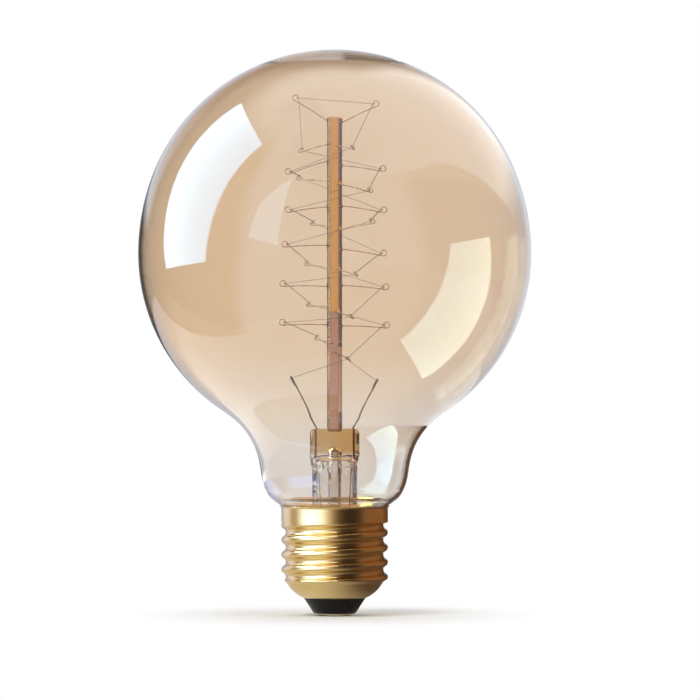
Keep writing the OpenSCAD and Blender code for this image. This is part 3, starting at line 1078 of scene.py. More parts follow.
@dataclass
class Cage:
    """The centre rod, its support wires and the filament strung over them.

    Attributes:
        rod: Radius of the rod.
        rod_top: Height of its top.
        rod_foot: Height of the glass that it stands on.
        rod_sink: How deep it is melted in there.
        support: Radius of the support wires.
        coil: Radius of the filament's coil, to the middle of its wire.
        strand: Radius of the filament's wire.
        pitch: Length of one turn of the coil.
        coil_steps: The number of steps in one turn.
        rod_sides: The number of sides of the rod.
        rounding: Rounding of the rod's top.
        bead: How far the glass is drawn up at a wire's root.
        spread: How far round the root it is drawn up.
        tiers: Each eye's x, height and root, from the top down, in the order of Side.
        eyes: The eyes of each tier, by their side.
    """

    rod: float = 1.85
    rod_top: float = 121.8
    rod_foot: float = 46.25
    rod_sink: float = 0.9
    support: float = 0.125
    coil: float = 0.115
    strand: float = 0.03
    pitch: float = 0.27
    coil_steps: int = 6
    rod_sides: int = 64
    rounding: float = 0.3
    bead: float = 0.16
    spread: float = 0.5
    tiers: tuple[tuple[Point3, ...], ...] = (
        ((-9.6, 126.6, 121.3), (10.1, 125.2, 120.8), (-8.3, 114.2, 115.3), (4.4, 114.2, 114.7)),
        ((-11.4, 108.6, 111.0), (11.8, 109.3, 110.0), (-8.9, 107.4, 106.2), (8.7, 103.9, 105.3)),
        ((-11.4, 99.3, 99.9), (12.0, 99.2, 100.1), (-5.6, 96.4, 95.1), (9.2, 96.4, 94.3)),
        ((-12.2, 90.8, 90.5), (12.0, 88.6, 89.5), (-7.0, 86.4, 85.1), (5.2, 83.5, 84.5)),
        ((-12.7, 81.2, 80.5), (12.5, 80.4, 80.7), (-6.5, 76.3, 75.4), (4.2, 73.2, 74.1)),
        ((-12.8, 71.7, 71.1), (12.7, 71.0, 70.8), (-4.6, 68.1, 66.5), (3.4, 63.0, 64.3)),
    )
    eyes: list[dict[Side, Eye]] = field(default_factory=list)

    def __post_init__(self) -> None:
        """Lays out the eyes of every tier."""
        self.eyes = [{side: Eye(*row, side) for side, row in zip(Side, tier)}
                     for tier in self.tiers]

    def build_rod(self) -> None:
        """Makes the rod, with the glass drawn up a little round each wire's root."""
        path = Outline(0, self.rod_top, step=15)
        path.run(self.rod - self.rounding).arc(self.rounding, 90)
        path.run(path.points[-1][1] - self.rod_foot, 260)
        path.arc(self.rod, math.degrees(math.asin(self.rod_sink / self.rod)))
        path.to(0, self.rod_foot - self.rod_sink)
        bm = turned(path.points, self.rod_sides)
        roots = [eye for tier in self.eyes for eye in tier.values()]

        def drawn_up(point: Vector) -> Vector:
            """Lifts the glass near a root.

            Args:
                point: A point of the rod.

            Returns:
                Where it lies then.
            """
            outward = Vector((point.x, point.y, 0))
            if outward.length < self.rod * 0.9:
                return point
            lift = 0.0
            for eye in roots:
                if abs(point.z - eye.root) < 3 * self.spread:
                    away = (point - (self.rod * eye.out + eye.root * UP)).length
                    lift += self.bead * math.exp(-(away / self.spread) ** 2)
            return point + lift * outward.normalized()

        move_verts(bm, drawn_up)
        finished(bm, "centre_rod", ROD_GLASS)

    def build_supports(self) -> None:
        """Makes the support wires."""
        for number, tier in enumerate(self.eyes, start=1):
            for side, eye in tier.items():
                finished(wire(eye.wire_path(self.rod), self.support),
                         f"support_{number}_{side.value}", SUPPORT_WIRE)

    def thread(self, leads: Leads) -> list[Vector]:
        """Strings the filament from the right lead over the cage to the left lead.

        Args:
            leads: The leads that hold its ends.

        Returns:
            The points of its route.
        """
        way_up = []
        way_down = []
        for number, tier in enumerate(self.eyes, start=1):
            near, far = (Side.FRONT, Side.RIGHT), (Side.BACK, Side.LEFT)
            up, down = (far, near) if number % 2 == 0 else (near, far)
            way_up = [tier[up[0]], tier[up[1]], *way_up]
            way_down += [tier[down[1]], tier[down[0]]]
        route = leads.clamped(Side.RIGHT)
        for eye in way_up:
            route += eye.threaded(-1)
        for eye in way_down:
            route += eye.threaded(1)
        return route + leads.clamped(Side.LEFT)

    def build_filament(self, leads: Leads) -> None:
        """Makes the filament, a fine coil along its whole route.

        Args:
            leads: The leads that hold its ends.
        """
        step = self.pitch / self.coil_steps
        route = evenly(self.thread(leads), step)
        log.info("filament: %.0f mm of coil", len(route) * step)
        side = Vector((0, 1, 0))
        points = []
        for i, point in enumerate(route):
            ahead = (route[min(i + 1, len(route) - 1)] - route[max(i - 1, 0)]).normalized()
            side = (side - side.dot(ahead) * ahead).normalized()
            angle = math.tau * i / self.coil_steps
            points.append(point + self.coil * (math.cos(angle) * side
                                               + math.sin(angle) * ahead.cross(side)))
        finished(wire(points, self.strand, 0), "filament", FILAMENT_WIRE)


def evenly(route: Sequence[Vector], step: float) -> list[Vector]:
    """Returns points spaced evenly along a route.

    Args:
        route: The route's own points.
        step: The distance from one new point to the next.

    Returns:
        The new points, from the route's start.
    """
    points = [route[0].copy()]
    left = step
    for a, b in zip(route, route[1:]):
        length = (b - a).length
        at = left
        while at <= length:
            points.append(a.lerp(b, at / length))
            at += step
        left = at - length
    return points


@dataclass
class Leads:
    """The lead wires, the seals below them and the outer leads inside the cap.

    Attributes:
        lead: Radius of the lead and seal wires.
        spread: Distance from the axis to where they leave the glass.
        press_top: Height of the top of the glass.
        lead_low: Height of the lower end of a lead, where its seal wire begins.
        seal_low: Height of the lower end of a seal wire.
        clamp: Radius of the fold that holds the filament.
        leg: Length of the fold's free leg.
        leg_steps: Shares of that length at which the leg still runs straight.
        leg_lean: Share of the radius to which the leg closes at its end.
        tips: X and height of the left and right lead's highest point.
        fold_low: How far under the fold's middle the straight part of a lead ends.
        fold_turn: Degrees that the folds are turned by.
        held: Half the length of filament in a fold.
        sunk: How far under the top of the glass a lead begins to bend.
        elbow: How far out, and how far over the top of the glass, the bend is.
        shaft: Shares of the straight part at which it has points.
        fuse: Radius of the fuse wire.
        contact_wire: Radius of the wire to the contact.
        side_wire: Radius of the wire to the lip.
        rim_angle: Degrees from +X at which that wire leaves the cap.
        fuse_route: Points of the fuse wire.
        contact_route: Points of the wire to the contact.
        shell_route: The first points of the wire to the lip.
        rim_route: Radius and height of its last points, at the rim angle.
    """

    lead: float = 0.2
    spread: float = 4.4
    press_top: float = 46.25
    lead_low: float = 45.35
    seal_low: float = 38.2
    clamp: float = 0.36
    leg: float = 2.0
    leg_steps: Point2 = (0.3, 0.65)
    leg_lean: float = 0.8
    tips: tuple[Point2, Point2] = ((-10.7, 58.3), (10.5, 57.7))
    fold_low: float = 0.6
    fold_turn: float = 20.0
    held: float = 0.5
    sunk: float = 0.1
    elbow: Point2 = (0.25, 0.6)
    shaft: tuple[float, ...] = (0.08, 0.2, 0.4, 0.7)
    fuse: float = 0.08
    contact_wire: float = 0.15
    side_wire: float = 0.125
    rim_angle: float = 48.0
    fuse_route: tuple[Point3, ...] = ((-4.4, 0, 38.2), (-4.4, 0, 37.8), (-4, 0, 36),
                                      (-3.6, 0, 30), (-3.4, 0, 24.4), (-3.4, 0, 24))
    contact_route: tuple[Point3, ...] = (
        (-3.4, 0, 24), (-3.4, 0, 23.6), (-3.2, 0, 18), (-2.8, 0, 13), (-1.6, 0, 9.6),
        (-0.4, 0, 8.2), (0, 0, 7.2), (0, 0, 0.75))
    shell_route: tuple[Point3, ...] = ((4.4, 0, 38.2), (4.4, 0, 37.8), (4.1, 0, 36),
                                       (3.8, 0.2, 30), (3.6, 0.8, 22), (3.8, 2.2, 16.5))
    rim_route: tuple[Point2, ...] = (
        (6.5, 13.8), (9.5, 13.4), (10.9, 14.3), (11.22, 16), (11.22, 22.3), (11.7, 23.3),
        (11.8, 23.9), (11.8, 24.9), (12.3, 25.75), (12.6, 26.15), (13.08, 26.36))

    def hand(self, side: Side) -> float:
        """Returns -1 on the left and 1 on the right."""
        return -1.0 if side is Side.LEFT else 1.0

    def tip(self, side: Side) -> Vector:
        """Returns the highest point of a lead."""
        x, z = self.tips[0 if side is Side.LEFT else 1]
        return Vector((x, 0, z))

    def slope(self, side: Side) -> Vector:
        """Returns the direction that a lead leans in."""
        foot = Vector((self.hand(side) * self.spread, 0, self.press_top))
        return (self.tip(side) - foot).normalized()

    def fold_axis(self, side: Side) -> Vector:
        """Finds the direction through the fold at a lead's tip.

        Args:
            side: The lead's side.

        Returns:
            The direction, of length 1.
        """
        turn = math.radians(self.fold_turn)
        level = Vector((0, 1, 0))
        return (math.cos(turn) * level.cross(self.slope(side))
                + math.sin(turn) * level).normalized()

    def clamped(self, side: Side) -> list[Vector]:
        """Lays the end of the filament that a lead's fold holds.

        Args:
            side: The lead's side.

        Returns:
            The first and last point of that end.
        """
        middle = self.tip(side) - self.clamp * self.slope(side)
        along = self.held * self.fold_axis(side)
        return [middle + along, middle - along]

    def lead_path(self, side: Side) -> list[Vector]:
        """Lays a lead from the glass to its folded tip.

        Args:
            side: The lead's side.

        Returns:
            The points of the wire's middle.
        """
        hand, slope = self.hand(side), self.slope(side)
        aside = slope.cross(self.fold_axis(side))
        middle = self.tip(side) - self.clamp * slope
        bend = Vector((hand * (self.spread + self.elbow[0]), 0, self.press_top + self.elbow[1]))
        end = middle - self.clamp * aside - self.fold_low * slope
        start = [Vector((hand * self.spread, 0, self.lead_low)),
                 Vector((hand * self.spread, 0, self.press_top - self.sunk)), bend,
                 *(bend.lerp(end, share) for share in self.shaft), end]
        fold = []
        steps = 12
        for i in range(steps + 1):
            at = math.pi * (1 - i / steps)
            fold.append(middle + self.clamp * (math.cos(at) * aside + math.sin(at) * slope))
        leg = [middle + self.clamp * aside - share * self.leg * slope for share in self.leg_steps]
        leg_end = middle + self.leg_lean * self.clamp * aside - self.leg * slope
        return smooth_path(start, 6) + fold + leg + [leg_end]

    def at_rim(self, r: float, z: float) -> Vector:
        """Returns a point at the side where the side wire leaves the cap."""
        at = math.radians(self.rim_angle)
        return Vector((r * math.cos(at), r * math.sin(at), z))

    def build(self) -> None:
        """Makes the leads, the sealed wires, the fuse and the outer leads."""
        for side in (Side.LEFT, Side.RIGHT):
            finished(wire(self.lead_path(side), self.lead, 3), f"lead_wire_{side.value}",
                     LEAD_WIRE)
            x = self.hand(side) * self.spread
            steps = 8
            seal = [Vector((x, 0, self.seal_low + (self.lead_low - self.seal_low) * i / steps))
                    for i in range(steps + 1)]
            finished(wire(seal, self.lead, 3), f"seal_wire_{side.value}", SEAL_WIRE)
        routes = {name: [Vector(point) for point in route] for name, route in (
            ("fuse_link", self.fuse_route), ("outer_lead_contact", self.contact_route),
            ("outer_lead_shell", self.shell_route))}
        routes["outer_lead_shell"] += [self.at_rim(r, z) for r, z in self.rim_route]
        for node, radius, finish in (("fuse_link", self.fuse, SUPPORT_WIRE),
                                     ("outer_lead_contact", self.contact_wire, COPPER_WIRE),
                                     ("outer_lead_shell", self.side_wire, COPPER_WIRE)):
            finished(wire(smooth_path(routes[node], 5), radius), node, finish)


@dataclass
class Cap:
    """The screw cap: brass shell, black insulator, contact, solder and cement.

    Attributes:
        crest: Radius over the thread's crests, and of the collar.
        depth: Depth of the thread.
        pitch: The thread's rise in one turn.
        sheet: Thickness of the brass.
        collar_low: Height at which the plain collar begins.
        lip: Height of the shell's top.
        flare: How far the lip stands out from the collar.
        crest_height: Height of a crest at +X.
        thread_low: Height at which the thread begins to rise.
        thread_fade: Height over which it does.
        bottom: Height of the brass's lower edge.
        fillet: Height over which the thread's root runs out into the collar.
        insulator: Radius of the brass's lower edge, round the insulator.
        tip: Radius of the insulator's lower end.
        neck: Radius of the glass neck inside the shell.
        cone: Radius and height of points on the rounded part under the thread.
        cone_top: Height of that part's upper end.
        cone_wall: How far inwards and up the inside of that part lies.
        lip_drop: Height of the flared lip.
        lip_steps: Shares of the collar's height at which it has points.
        lip_edge: Points of the lip's edge, from its widest radius and the shell's top.
        plate: Outline of the contact plate.
        drop: Outline of the solder on it.
        drop_flat: Radius of that solder's even part.
        rim_drop: Half the thickness, width and height of the solder on the lip.
        rim_root: How far its root reaches inwards, narrows and hangs.
        rim_drop_out: How far its middle lies outside the crests' radius.
        cement: Heights of the cement's lower and upper face over the collar's foot.
        play: Play between the cement and what it holds.
        sides: The number of sides of the shell.
    """

    crest: float = 13.05
    depth: float = 1.1
    pitch: float = 3.629
    sheet: float = 0.35
    collar_low: float = 22.9
    lip: float = 26.8
    flare: float = 0.4
    crest_height: float = 9.4
    thread_low: float = 7.9
    thread_fade: float = 1.1
    bottom: float = 4.3
    fillet: float = 0.7
    insulator: float = 7.7
    tip: float = 5.0
    neck: float = 10.9
    cone: tuple[Point2, ...] = ((8.6, 4.75), (10.2, 5.95), (11.35, 7.35))
    cone_top: float = 8.4
    cone_wall: Point2 = (0.12, 0.34)
    lip_drop: float = 0.5
    lip_steps: tuple[float, ...] = (0.03, 0.07, 0.5, 0.93, 0.97)
    lip_edge: tuple[Point2, ...] = ((-0.06, -0.16), (0, -0.06), (-0.05, 0), (-0.2, 0))
    plate: tuple[Point2, ...] = ((0.6, 0.35), (4.55, 0.35), (4.66, 0.4), (4.7, 0.5),
                                 (4.7, 0.73), (0.6, 0.73))
    drop: tuple[Point2, ...] = ((0, 0), (1.0, 0), (1.85, 0.005), (2.3, 0.04), (2.62, 0.12),
                                (2.86, 0.22), (2.98, 0.32), (0.58, 0.33), (0.58, 0.73),
                                (0, 0.73))
    drop_flat: float = 2.1
    rim_drop: Point3 = (0.3, 0.7, 0.3)
    rim_root: Point3 = (0.28, 0.8, 0.1)
    rim_drop_out: float = 0.75
    cement: Point2 = (0.6, 1.9)
    play: float = 0.02
    sides: int = 160

    @property
    def root(self) -> float:
        """Radius at the bottom of the thread."""
        return self.crest - self.depth

    def rise(self, turn: float, z: float) -> float:
        """Returns how far the rolled thread stands over its root at a place.

        Args:
            turn: The place's share of a turn round the axis, from +X.
            z: The place's height in millimetres.

        Returns:
            The height over the root in millimetres.
        """
        bend = ((self.pitch / 2) ** 2 + self.depth ** 2) / (4 * self.depth)
        along = (z - self.crest_height) / self.pitch - turn
        off = abs(along - round(along)) * self.pitch
        if off < self.pitch / 4:
            height = self.depth - bend + math.sqrt(bend ** 2 - off ** 2)
        else:
            height = bend - math.sqrt(bend ** 2 - (self.pitch / 2 - off) ** 2)
        rolled = height * eased((z - self.thread_low) / self.thread_fade)
        collar = self.depth * eased((z - self.collar_low + self.fillet) / self.fillet)
        return max(rolled, collar)

    def shell_outline(self) -> list[Point2]:
        """Walks the closed outline of the brass, with the thread's root as a straight.

        Returns:
            Radius and height of its points.
        """
        cone = smooth_path([Vector((r, z, 0)) for r, z in (
            (self.insulator, self.bottom), *self.cone, (self.root, self.cone_top))], 6)
        outer = [(p.x, p.y) for p in cone]
        steps = 104
        outer += [(self.root, self.cone_top + (self.collar_low - self.cone_top) * i / steps)
                  for i in range(1, steps + 1)]
        inner = [(r - self.sheet, z) for r, z in outer[::-1] if z > self.cone_top - 0.1]
        inward, up = self.cone_wall
        cone_inner = [(p.x - inward, p.y + up) for p in cone[::-1] if p.y < self.cone_top - 0.5]
        low = self.lip - self.lip_drop
        lip = [(self.root, self.collar_low + share * (low - self.collar_low))
               for share in self.lip_steps]
        edge = self.root + self.flare
        lip += [(self.root, low), *((edge + r, self.lip + z) for r, z in self.lip_edge),
                (self.root - self.sheet, low - 0.15)]
        return outer + lip + inner + cone_inner

    def rolled(self, point: Vector) -> Vector:
        """Rolls the thread and the collar into the plain sleeve.

        Args:
            point: A point of the sleeve.

        Returns:
            Where it lies then.
        """
        return widened(point, self.rise(math.atan2(point.y, point.x) / math.tau, point.z))

    def build_shell(self) -> None:
        """Makes the brass shell."""
        bm = turned(self.shell_outline(), self.sides, closed=True)
        move_verts(bm, self.rolled)
        finished(bm, "screw_shell", BRASS, sharp=35)

    def build_insulator(self) -> None:
        """Makes the black glass insulator."""
        points = [(0.6, 0.75), (4.72, 0.75), (4.72, 0.55), (4.78, 0.5), (4.85, 0.5),
                  (self.tip - 0.1, 0.5), (self.tip + 0.12, 0.56), (self.tip + 0.3, 0.78),
                  (self.tip + 0.55, 1.1), (6.35, 2.4), (7.1, 3.55), (self.insulator - 0.22, 4.1),
                  (self.insulator - 0.1, 4.3), (self.insulator - 0.1, self.bottom + 0.45),
                  (8.2, 5.25), (9.75, 6.4), (10.6, 7.6), (9.6, 7.7), (6, 6.4), (2.4, 6),
                  (0.6, 5.6)]
        finished(turned(points, 96, closed=True), "base_insulator", BLACK_GLASS, sharp=50)

    def build_contact(self) -> None:
        """Makes the contact plate and the solder on it."""
        finished(turned(self.plate, 96, closed=True), "contact_plate", BRASS)
        bm = turned(self.drop, 72)

        def uneven(point: Vector) -> Vector:
            """Gives the solder's edge the run of a drop that froze.

            Args:
                point: A point of the solder.

            Returns:
                Where it lies then.
            """
            reach = math.hypot(point.x, point.y)
            if reach < self.drop_flat:
                return point
            wander = 0.12 * noise.noise(Vector((point.x, point.y, 0)) * 0.7)
            return widened(point, wander * min(1.0, (reach - self.drop_flat) / 0.4))

        move_verts(bm, uneven)
        finished(bm, "contact_solder", SOLDER)

    def build_rim_solder(self, leads: Leads) -> None:
        """Makes the drop of solder that holds the side wire on the lip.

        Args:
            leads: The leads, of which the side wire is one.
        """
        bm = bmesh.new()
        bmesh.ops.create_icosphere(bm, subdivisions=4, radius=1)
        middle = leads.at_rim(self.crest + self.rim_drop_out, self.lip)
        inward = -leads.at_rim(1, 0).normalized()
        along = UP.cross(inward)

        def settled(point: Vector) -> Vector:
            """Shapes the drop, with a small root towards the wire, and roughens it a little.

            Args:
                point: A point of a ball of radius 1.

            Returns:
                Where it lies in the drop.
            """
            lumpy = point * (1 + 0.05 * noise.noise(point * 3))
            depth, width, rise = (lumpy.dot(way) for way in (inward, along, UP))
            root = eased(depth) * eased(-rise + 0.4)
            low = min(0.0, rise) * root
            thick, wide, high = self.rim_drop
            deep, narrow, hang = self.rim_root
            return (middle + (thick * depth + deep * root) * inward
                    + wide * width * (1 - narrow * root) * along
                    + (high * rise + hang * low) * UP)

        for vert in bm.verts:
            vert.co = settled(vert.co) * MM
        bmesh.ops.recalc_face_normals(bm, faces=bm.faces)
        finished(bm, "rim_solder", SOLDER)

    def build_cement(self) -> None:
        """Makes the ring of cement between the neck and the shell."""
        low, high = (self.collar_low + rise for rise in self.cement)
        outer, inner = self.crest - self.sheet - self.play, self.neck + self.play
        steps = 12
        bottom = [(inner + (outer - inner) * i / steps, low) for i in range(steps + 1)]
        top = [(r, high) for r, _ in bottom[::-1]]
        bm = turned(bottom + top, 144, closed=True)

        def crumbled(point: Vector) -> Vector:
            """Makes the two faces uneven.

            Args:
                point: A point of the ring.

            Returns:
                Where it lies then.
            """
            wander = 0.1 * noise.noise(point * 1.6) - 0.06
            up = 1 if point.z > (low + high) / 2 else -1
            return point + UP * wander * up

        move_verts(bm, crumbled)
        finished(bm, "basing_cement", CEMENT)

    def build(self, leads: Leads) -> None:
        """Makes every piece of the cap.

        Args:
            leads: The leads, of which one ends in the solder on the lip.
        """
        self.build_shell()
        self.build_insulator()
        self.build_contact()
        self.build_rim_solder(leads)
        self.build_cement()


def glowing(bm: bmesh.types.BMesh, name: str,
            paint: Callable[[Canvas, bpy.types.Node], None]) -> None:
    """Makes a piece of the studio that glows, which only mirrored rays see.

    Args:
        bm: The piece's mesh in metres, which is used up.
        name: The piece's name.
        paint: A function that sets up the glow.
    """
    made = bpy.data.materials.new(name)
    made.use_nodes = True
    made.cycles.emission_sampling = "NONE"
    canvas = Canvas(made.node_tree)
    made.node_tree.nodes.remove(made.node_tree.nodes["Principled BSDF"])
    glow = canvas.node("ShaderNodeEmission")
    paint(canvas, glow)
    path = canvas.node("ShaderNodeLightPath").outputs
    mirrored = canvas.math("GREATER_THAN", path["Glossy Depth"], 0.5)
    unscattered = canvas.math("LESS_THAN", path["Diffuse Depth"], 0.5)
    clear = canvas.node("ShaderNodeBsdfTransparent")
    canvas.surface(canvas.math("MULTIPLY", mirrored, unscattered), clear, glow)
    piece = meshed(bm, name, made)
    piece.visible_camera = False
    piece.visible_diffuse = False
    piece.visible_shadow = False


@dataclass(frozen=True)
class Card:
    """A flat card that glows, which only mirrored rays see.

    Attributes:
        name: The card's name.
        corners: Its four corners in millimetres.
        colour: Its colour.
        power: Its brightness, where 1 is white.
        power_inside: Its brightness for rays mirrored inside the globe.
        crossed: Counts of glass faces crossed, between which that one takes over.
    """

    name: str
    corners: tuple[Point3, ...]
    colour: Colour = WHITE
    power: float = 1.0
    power_inside: float = 1.0
    crossed: Point2 = (2.4, 2.6)

    def build(self) -> None:
        """Makes the card."""
        bm = bmesh.new()
        bm.faces.new([bm.verts.new(Vector(corner) * MM) for corner in self.corners])
        glowing(bm, self.name, self.paint)

    def paint(self, canvas: Canvas, glow: bpy.types.Node) -> None:
        """Sets up the glow, which rays from inside the globe see at another brightness.

        Args:
            canvas: The material's canvas.
            glow: Its Emission shader.
        """
        faces = canvas.node("ShaderNodeLightPath").outputs["Transmission Depth"]
        canvas.fill(glow, {"Color": self.colour, "Strength": canvas.ramp(
            faces, *self.crossed, self.power, self.power_inside)})


@dataclass(frozen=True)
class Room:
    """What mirror faces see: a bright left front and ceiling, a dark right and a pale table.

    Azimuths are in degrees, clockwise from +Y as seen from above.

    Attributes:
        collar: Colour by azimuth of the screens that the cap mirrors.
        walls: Colour of the walls by azimuth.
        behind_top: Colour behind the globe's top by the Z of a direction.
        behind_reach: Azimuths between which that colour ends, to each side.
        behind_from: Values of Z between which it begins.
        ceiling: Colour of the ceiling.
        ceiling_from: Height of its edge on the right, as the Z of a direction.
        ceiling_edge: How far from there, as a change of Z, the edge begins and ends.
        ceiling_low: Values of Z between which the ceiling begins at all.
        ceiling_left: Values of Z between which it brightens on the left.
        left_to: Azimuths between which the ceiling on the left ends.
        right_to: Azimuths between which the ceiling's edge on the right climbs.
        table_left: Colour of the table on the bulb's left.
        table_right: Colour of the table on the bulb's right.
        table_back: Colour of the table behind the bulb.
        table_edge: The direction, square to the table's straight edge, towards that edge.
        table_reach: How far away that edge is, in millimetres.
        table_soft: Half the edge's width, in metres.
        shade_left: Colour of the bulb's painted shadow on the table, on the left.
        shade_right: The same on the right.
        shade_reach: Radii between which that painted shadow ends, in millimetres.
        table_middle: X between which the table's left side ends, in metres.
        table_behind: Y between which the table behind the bulb begins, in metres.
        table_far: Radii between which the walls begin, in metres.
        screens: The screens round the cap.
    """

    collar: Band = (
        (-180, (0.3, 0.23, 0.19)), (-172, (0.62, 0.55, 0.48)), (-163, (1.1, 1.15, 1.2)),
        (-155, (1.5, 1.8, 2.5)), (-146, (1.55, 2.1, 3.5)), (-124, (1.55, 2.1, 3.6)),
        (-115, (1.4, 1.8, 2.8)), (-106, (1.0, 1.05, 1.2)), (-97, (0.5, 0.45, 0.43)),
        (-84, (0.55, 0.48, 0.46)), (-74, (0.95, 0.95, 1.2)), (-60, (0.95, 1.0, 1.45)),
        (-34, (0.5, 0.5, 0.62)), (-5, (0.35, 0.33, 0.36)), (14, (0.12, 0.08, 0.06)),
        (24, (0.065, 0.04, 0.03)), (51, (0.17, 0.08, 0.036)), (68, (0.27, 0.135, 0.08)),
        (107, (0.27, 0.135, 0.08)), (118, (0.22, 0.14, 0.1)), (130, (0.09, 0.06, 0.045)),
        (140, (0.05, 0.034, 0.026)), (160, (0.05, 0.034, 0.026)), (168, (0.1, 0.07, 0.05)),
        (174, (0.18, 0.12, 0.09)), (180, (0.3, 0.23, 0.19)))
    walls: Band = (
        (-180, (1.3, 1.3, 1.3)), (-172, (1.5, 1.5, 1.5)), (-129, (1.5, 1.5, 1.5)),
        (-118, (0.1, 0.08, 0.07)), (-64, (0.1, 0.08, 0.07)), (-50, (0.16, 0.14, 0.13)),
        (-34, (0.2, 0.18, 0.17)), (-26, (0.12, 0.11, 0.1)), (-16, (0.08, 0.07, 0.065)),
        (-9, (0.12, 0.11, 0.11)), (-4, (0.62, 0.68, 0.78)), (3, (0.72, 0.78, 0.88)),
        (20, (0.72, 0.77, 0.86)), (34, (0.75, 0.72, 0.74)), (70, (0.75, 0.73, 0.74)),
        (122, (0.75, 0.73, 0.74)), (132, (1.2, 1.2, 1.2)), (180, (1.3, 1.3, 1.3)))
    behind_top: Band = (
        (0.0, (0.75, 0.85, 1.0)), (0.12, (0.72, 0.8, 0.95)), (0.26, (0.64, 0.63, 0.68)),
        (0.4, (0.48, 0.38, 0.33)), (0.5, (0.26, 0.17, 0.12)), (0.66, (0.4, 0.32, 0.27)))
    behind_reach: Point2 = (28.0, 40.0)
    behind_from: Point2 = (0.05, 0.13)
    ceiling: Colour = (1.75, 1.75, 1.75)
    ceiling_from: float = 0.62
    ceiling_edge: Point2 = (-0.01, 0.02)
    ceiling_low: Point2 = (0.1, 0.3)
    ceiling_left: Point2 = (0.7, 0.94)
    left_to: Point2 = (8.0, 20.0)
    right_to: Point2 = (20.0, 105.0)
    table_left: Colour = (1.2, 1.2, 1.2)
    table_right: Colour = WHITE
    table_back: Colour = (0.6, 0.6, 0.68)
    table_edge: Point2 = (-0.835, -0.55)
    table_reach: float = 113.0
    table_soft: float = 0.002
    shade_left: Colour = (0.72, 0.68, 0.6)
    shade_right: Colour = (0.12, 0.085, 0.07)
    shade_reach: Point2 = (62.0, 78.0)
    table_middle: Point2 = (-0.01, 0.015)
    table_behind: Point2 = (0.05, 0.13)
    table_far: Point2 = (0.5, 0.6)
    screens: tuple[Screen, ...] = ()

    def tree(self) -> bpy.types.NodeTree:
        """Builds the node group that gives the room's colours, unless it is there already.

        Returns:
            The group, which takes a direction.
        """
        name = "studio_room"
        if name in bpy.data.node_groups:
            return bpy.data.node_groups[name]
        tree = bpy.data.node_groups.new(name, "ShaderNodeTree")
        tree.interface.new_socket("Way", in_out="INPUT", socket_type="NodeSocketVector")
        for socket in ("Collar", "Walls"):
            tree.interface.new_socket(socket, in_out="OUTPUT", socket_type="NodeSocketColor")
        tree.interface.new_socket("Azimuth", in_out="OUTPUT", socket_type="NodeSocketFloat")
        canvas = Canvas(tree)
        way = canvas.node("NodeGroupInput").outputs["Way"]
        x, y = (canvas.axis(way, name) for name in "XY")
        azimuth = canvas.math("ARCTAN2", x, y)
        result = canvas.node("NodeGroupOutput")
        for socket, band in (("Collar", self.collar), ("Walls", self.walls)):
            stops = [(math.radians(at), colour) for at, colour in band]
            canvas.feed(result.inputs[socket], canvas.stops(azimuth, stops, -math.pi, math.pi))
        canvas.feed(result.inputs["Azimuth"], azimuth)
        return tree

    def seen_from(self, canvas: Canvas, way: object) -> bpy.types.Node:
        """Adds the room's group for a direction."""
        made = canvas.node("ShaderNodeGroup", node_tree=self.tree())
        return canvas.fill(made, {"Way": way})

    def above(self, canvas: Canvas, way: object) -> bpy.types.NodeSocket:
        """Adds the room's colour above the horizon.

        Args:
            canvas: The material's canvas.
            way: The direction.

        Returns:
            The colour in that direction.
        """
        z = canvas.axis(way, "Z")
        room = self.seen_from(canvas, way)
        azimuth = room.outputs["Azimuth"]
        behind = canvas.stops(z, self.behind_top, 0.0, self.behind_top[-1][0])
        aside = canvas.ramp(canvas.math("ABSOLUTE", azimuth),
                            *map(math.radians, self.behind_reach), 1.0, 0.0)
        share = canvas.math("MULTIPLY", aside, canvas.ramp(z, *self.behind_from))
        around = canvas.mix(share, room.outputs["Walls"], behind)
        right = canvas.ramp(azimuth, *map(math.radians, self.right_to))
        edge = canvas.math("MULTIPLY", right, self.ceiling_from)
        over = canvas.ramp(canvas.math("SUBTRACT", z, edge), *self.ceiling_edge)
        over = canvas.math("MULTIPLY", over, canvas.ramp(z, *self.ceiling_low))
        soft = canvas.ramp(z, *self.ceiling_left)
        on_left = canvas.ramp(azimuth, *map(math.radians, self.left_to), 1.0, 0.0)
        share = canvas.math("ADD", canvas.math("MULTIPLY", soft, on_left), canvas.math(
            "MULTIPLY", over, canvas.math("SUBTRACT", 1.0, on_left)))
        return canvas.mix(share, around, self.ceiling)

    def below(self, canvas: Canvas, place: object, reach: object) -> bpy.types.NodeSocket:
        """Adds the table's colour at a place, with the bulb's painted shadow under it.

        Args:
            canvas: The material's canvas.
            place: The place, in metres.
            reach: Its distance from the axis.

        Returns:
            The colour there.
        """
        room = self.seen_from(canvas, place)
        x, y = (canvas.axis(place, name) for name in "XY")
        side = canvas.ramp(x, *self.table_middle)
        # Painted shadow: the table under the bulb is darker, most on the right, where the key
        # lamp's shadow falls.
        shade = canvas.mix(side, self.shade_left, self.shade_right)
        table = canvas.mix(side, self.table_left, self.table_right)
        near, far = (reach_mm * MM for reach_mm in self.shade_reach)
        table = canvas.mix(canvas.ramp(y, *self.table_behind), table, self.table_back)
        lit = canvas.mix(canvas.ramp(reach, near, far), shade, table)
        along = canvas.math("ADD", canvas.math("MULTIPLY", x, self.table_edge[0]),
                            canvas.math("MULTIPLY", y, self.table_edge[1]))
        edge, soft = self.table_reach * MM, self.table_soft
        top = canvas.mix(canvas.ramp(along, edge - soft, edge + soft), lit, room.outputs["Walls"])
        return canvas.mix(canvas.ramp(reach, *self.table_far), top, room.outputs["Walls"])


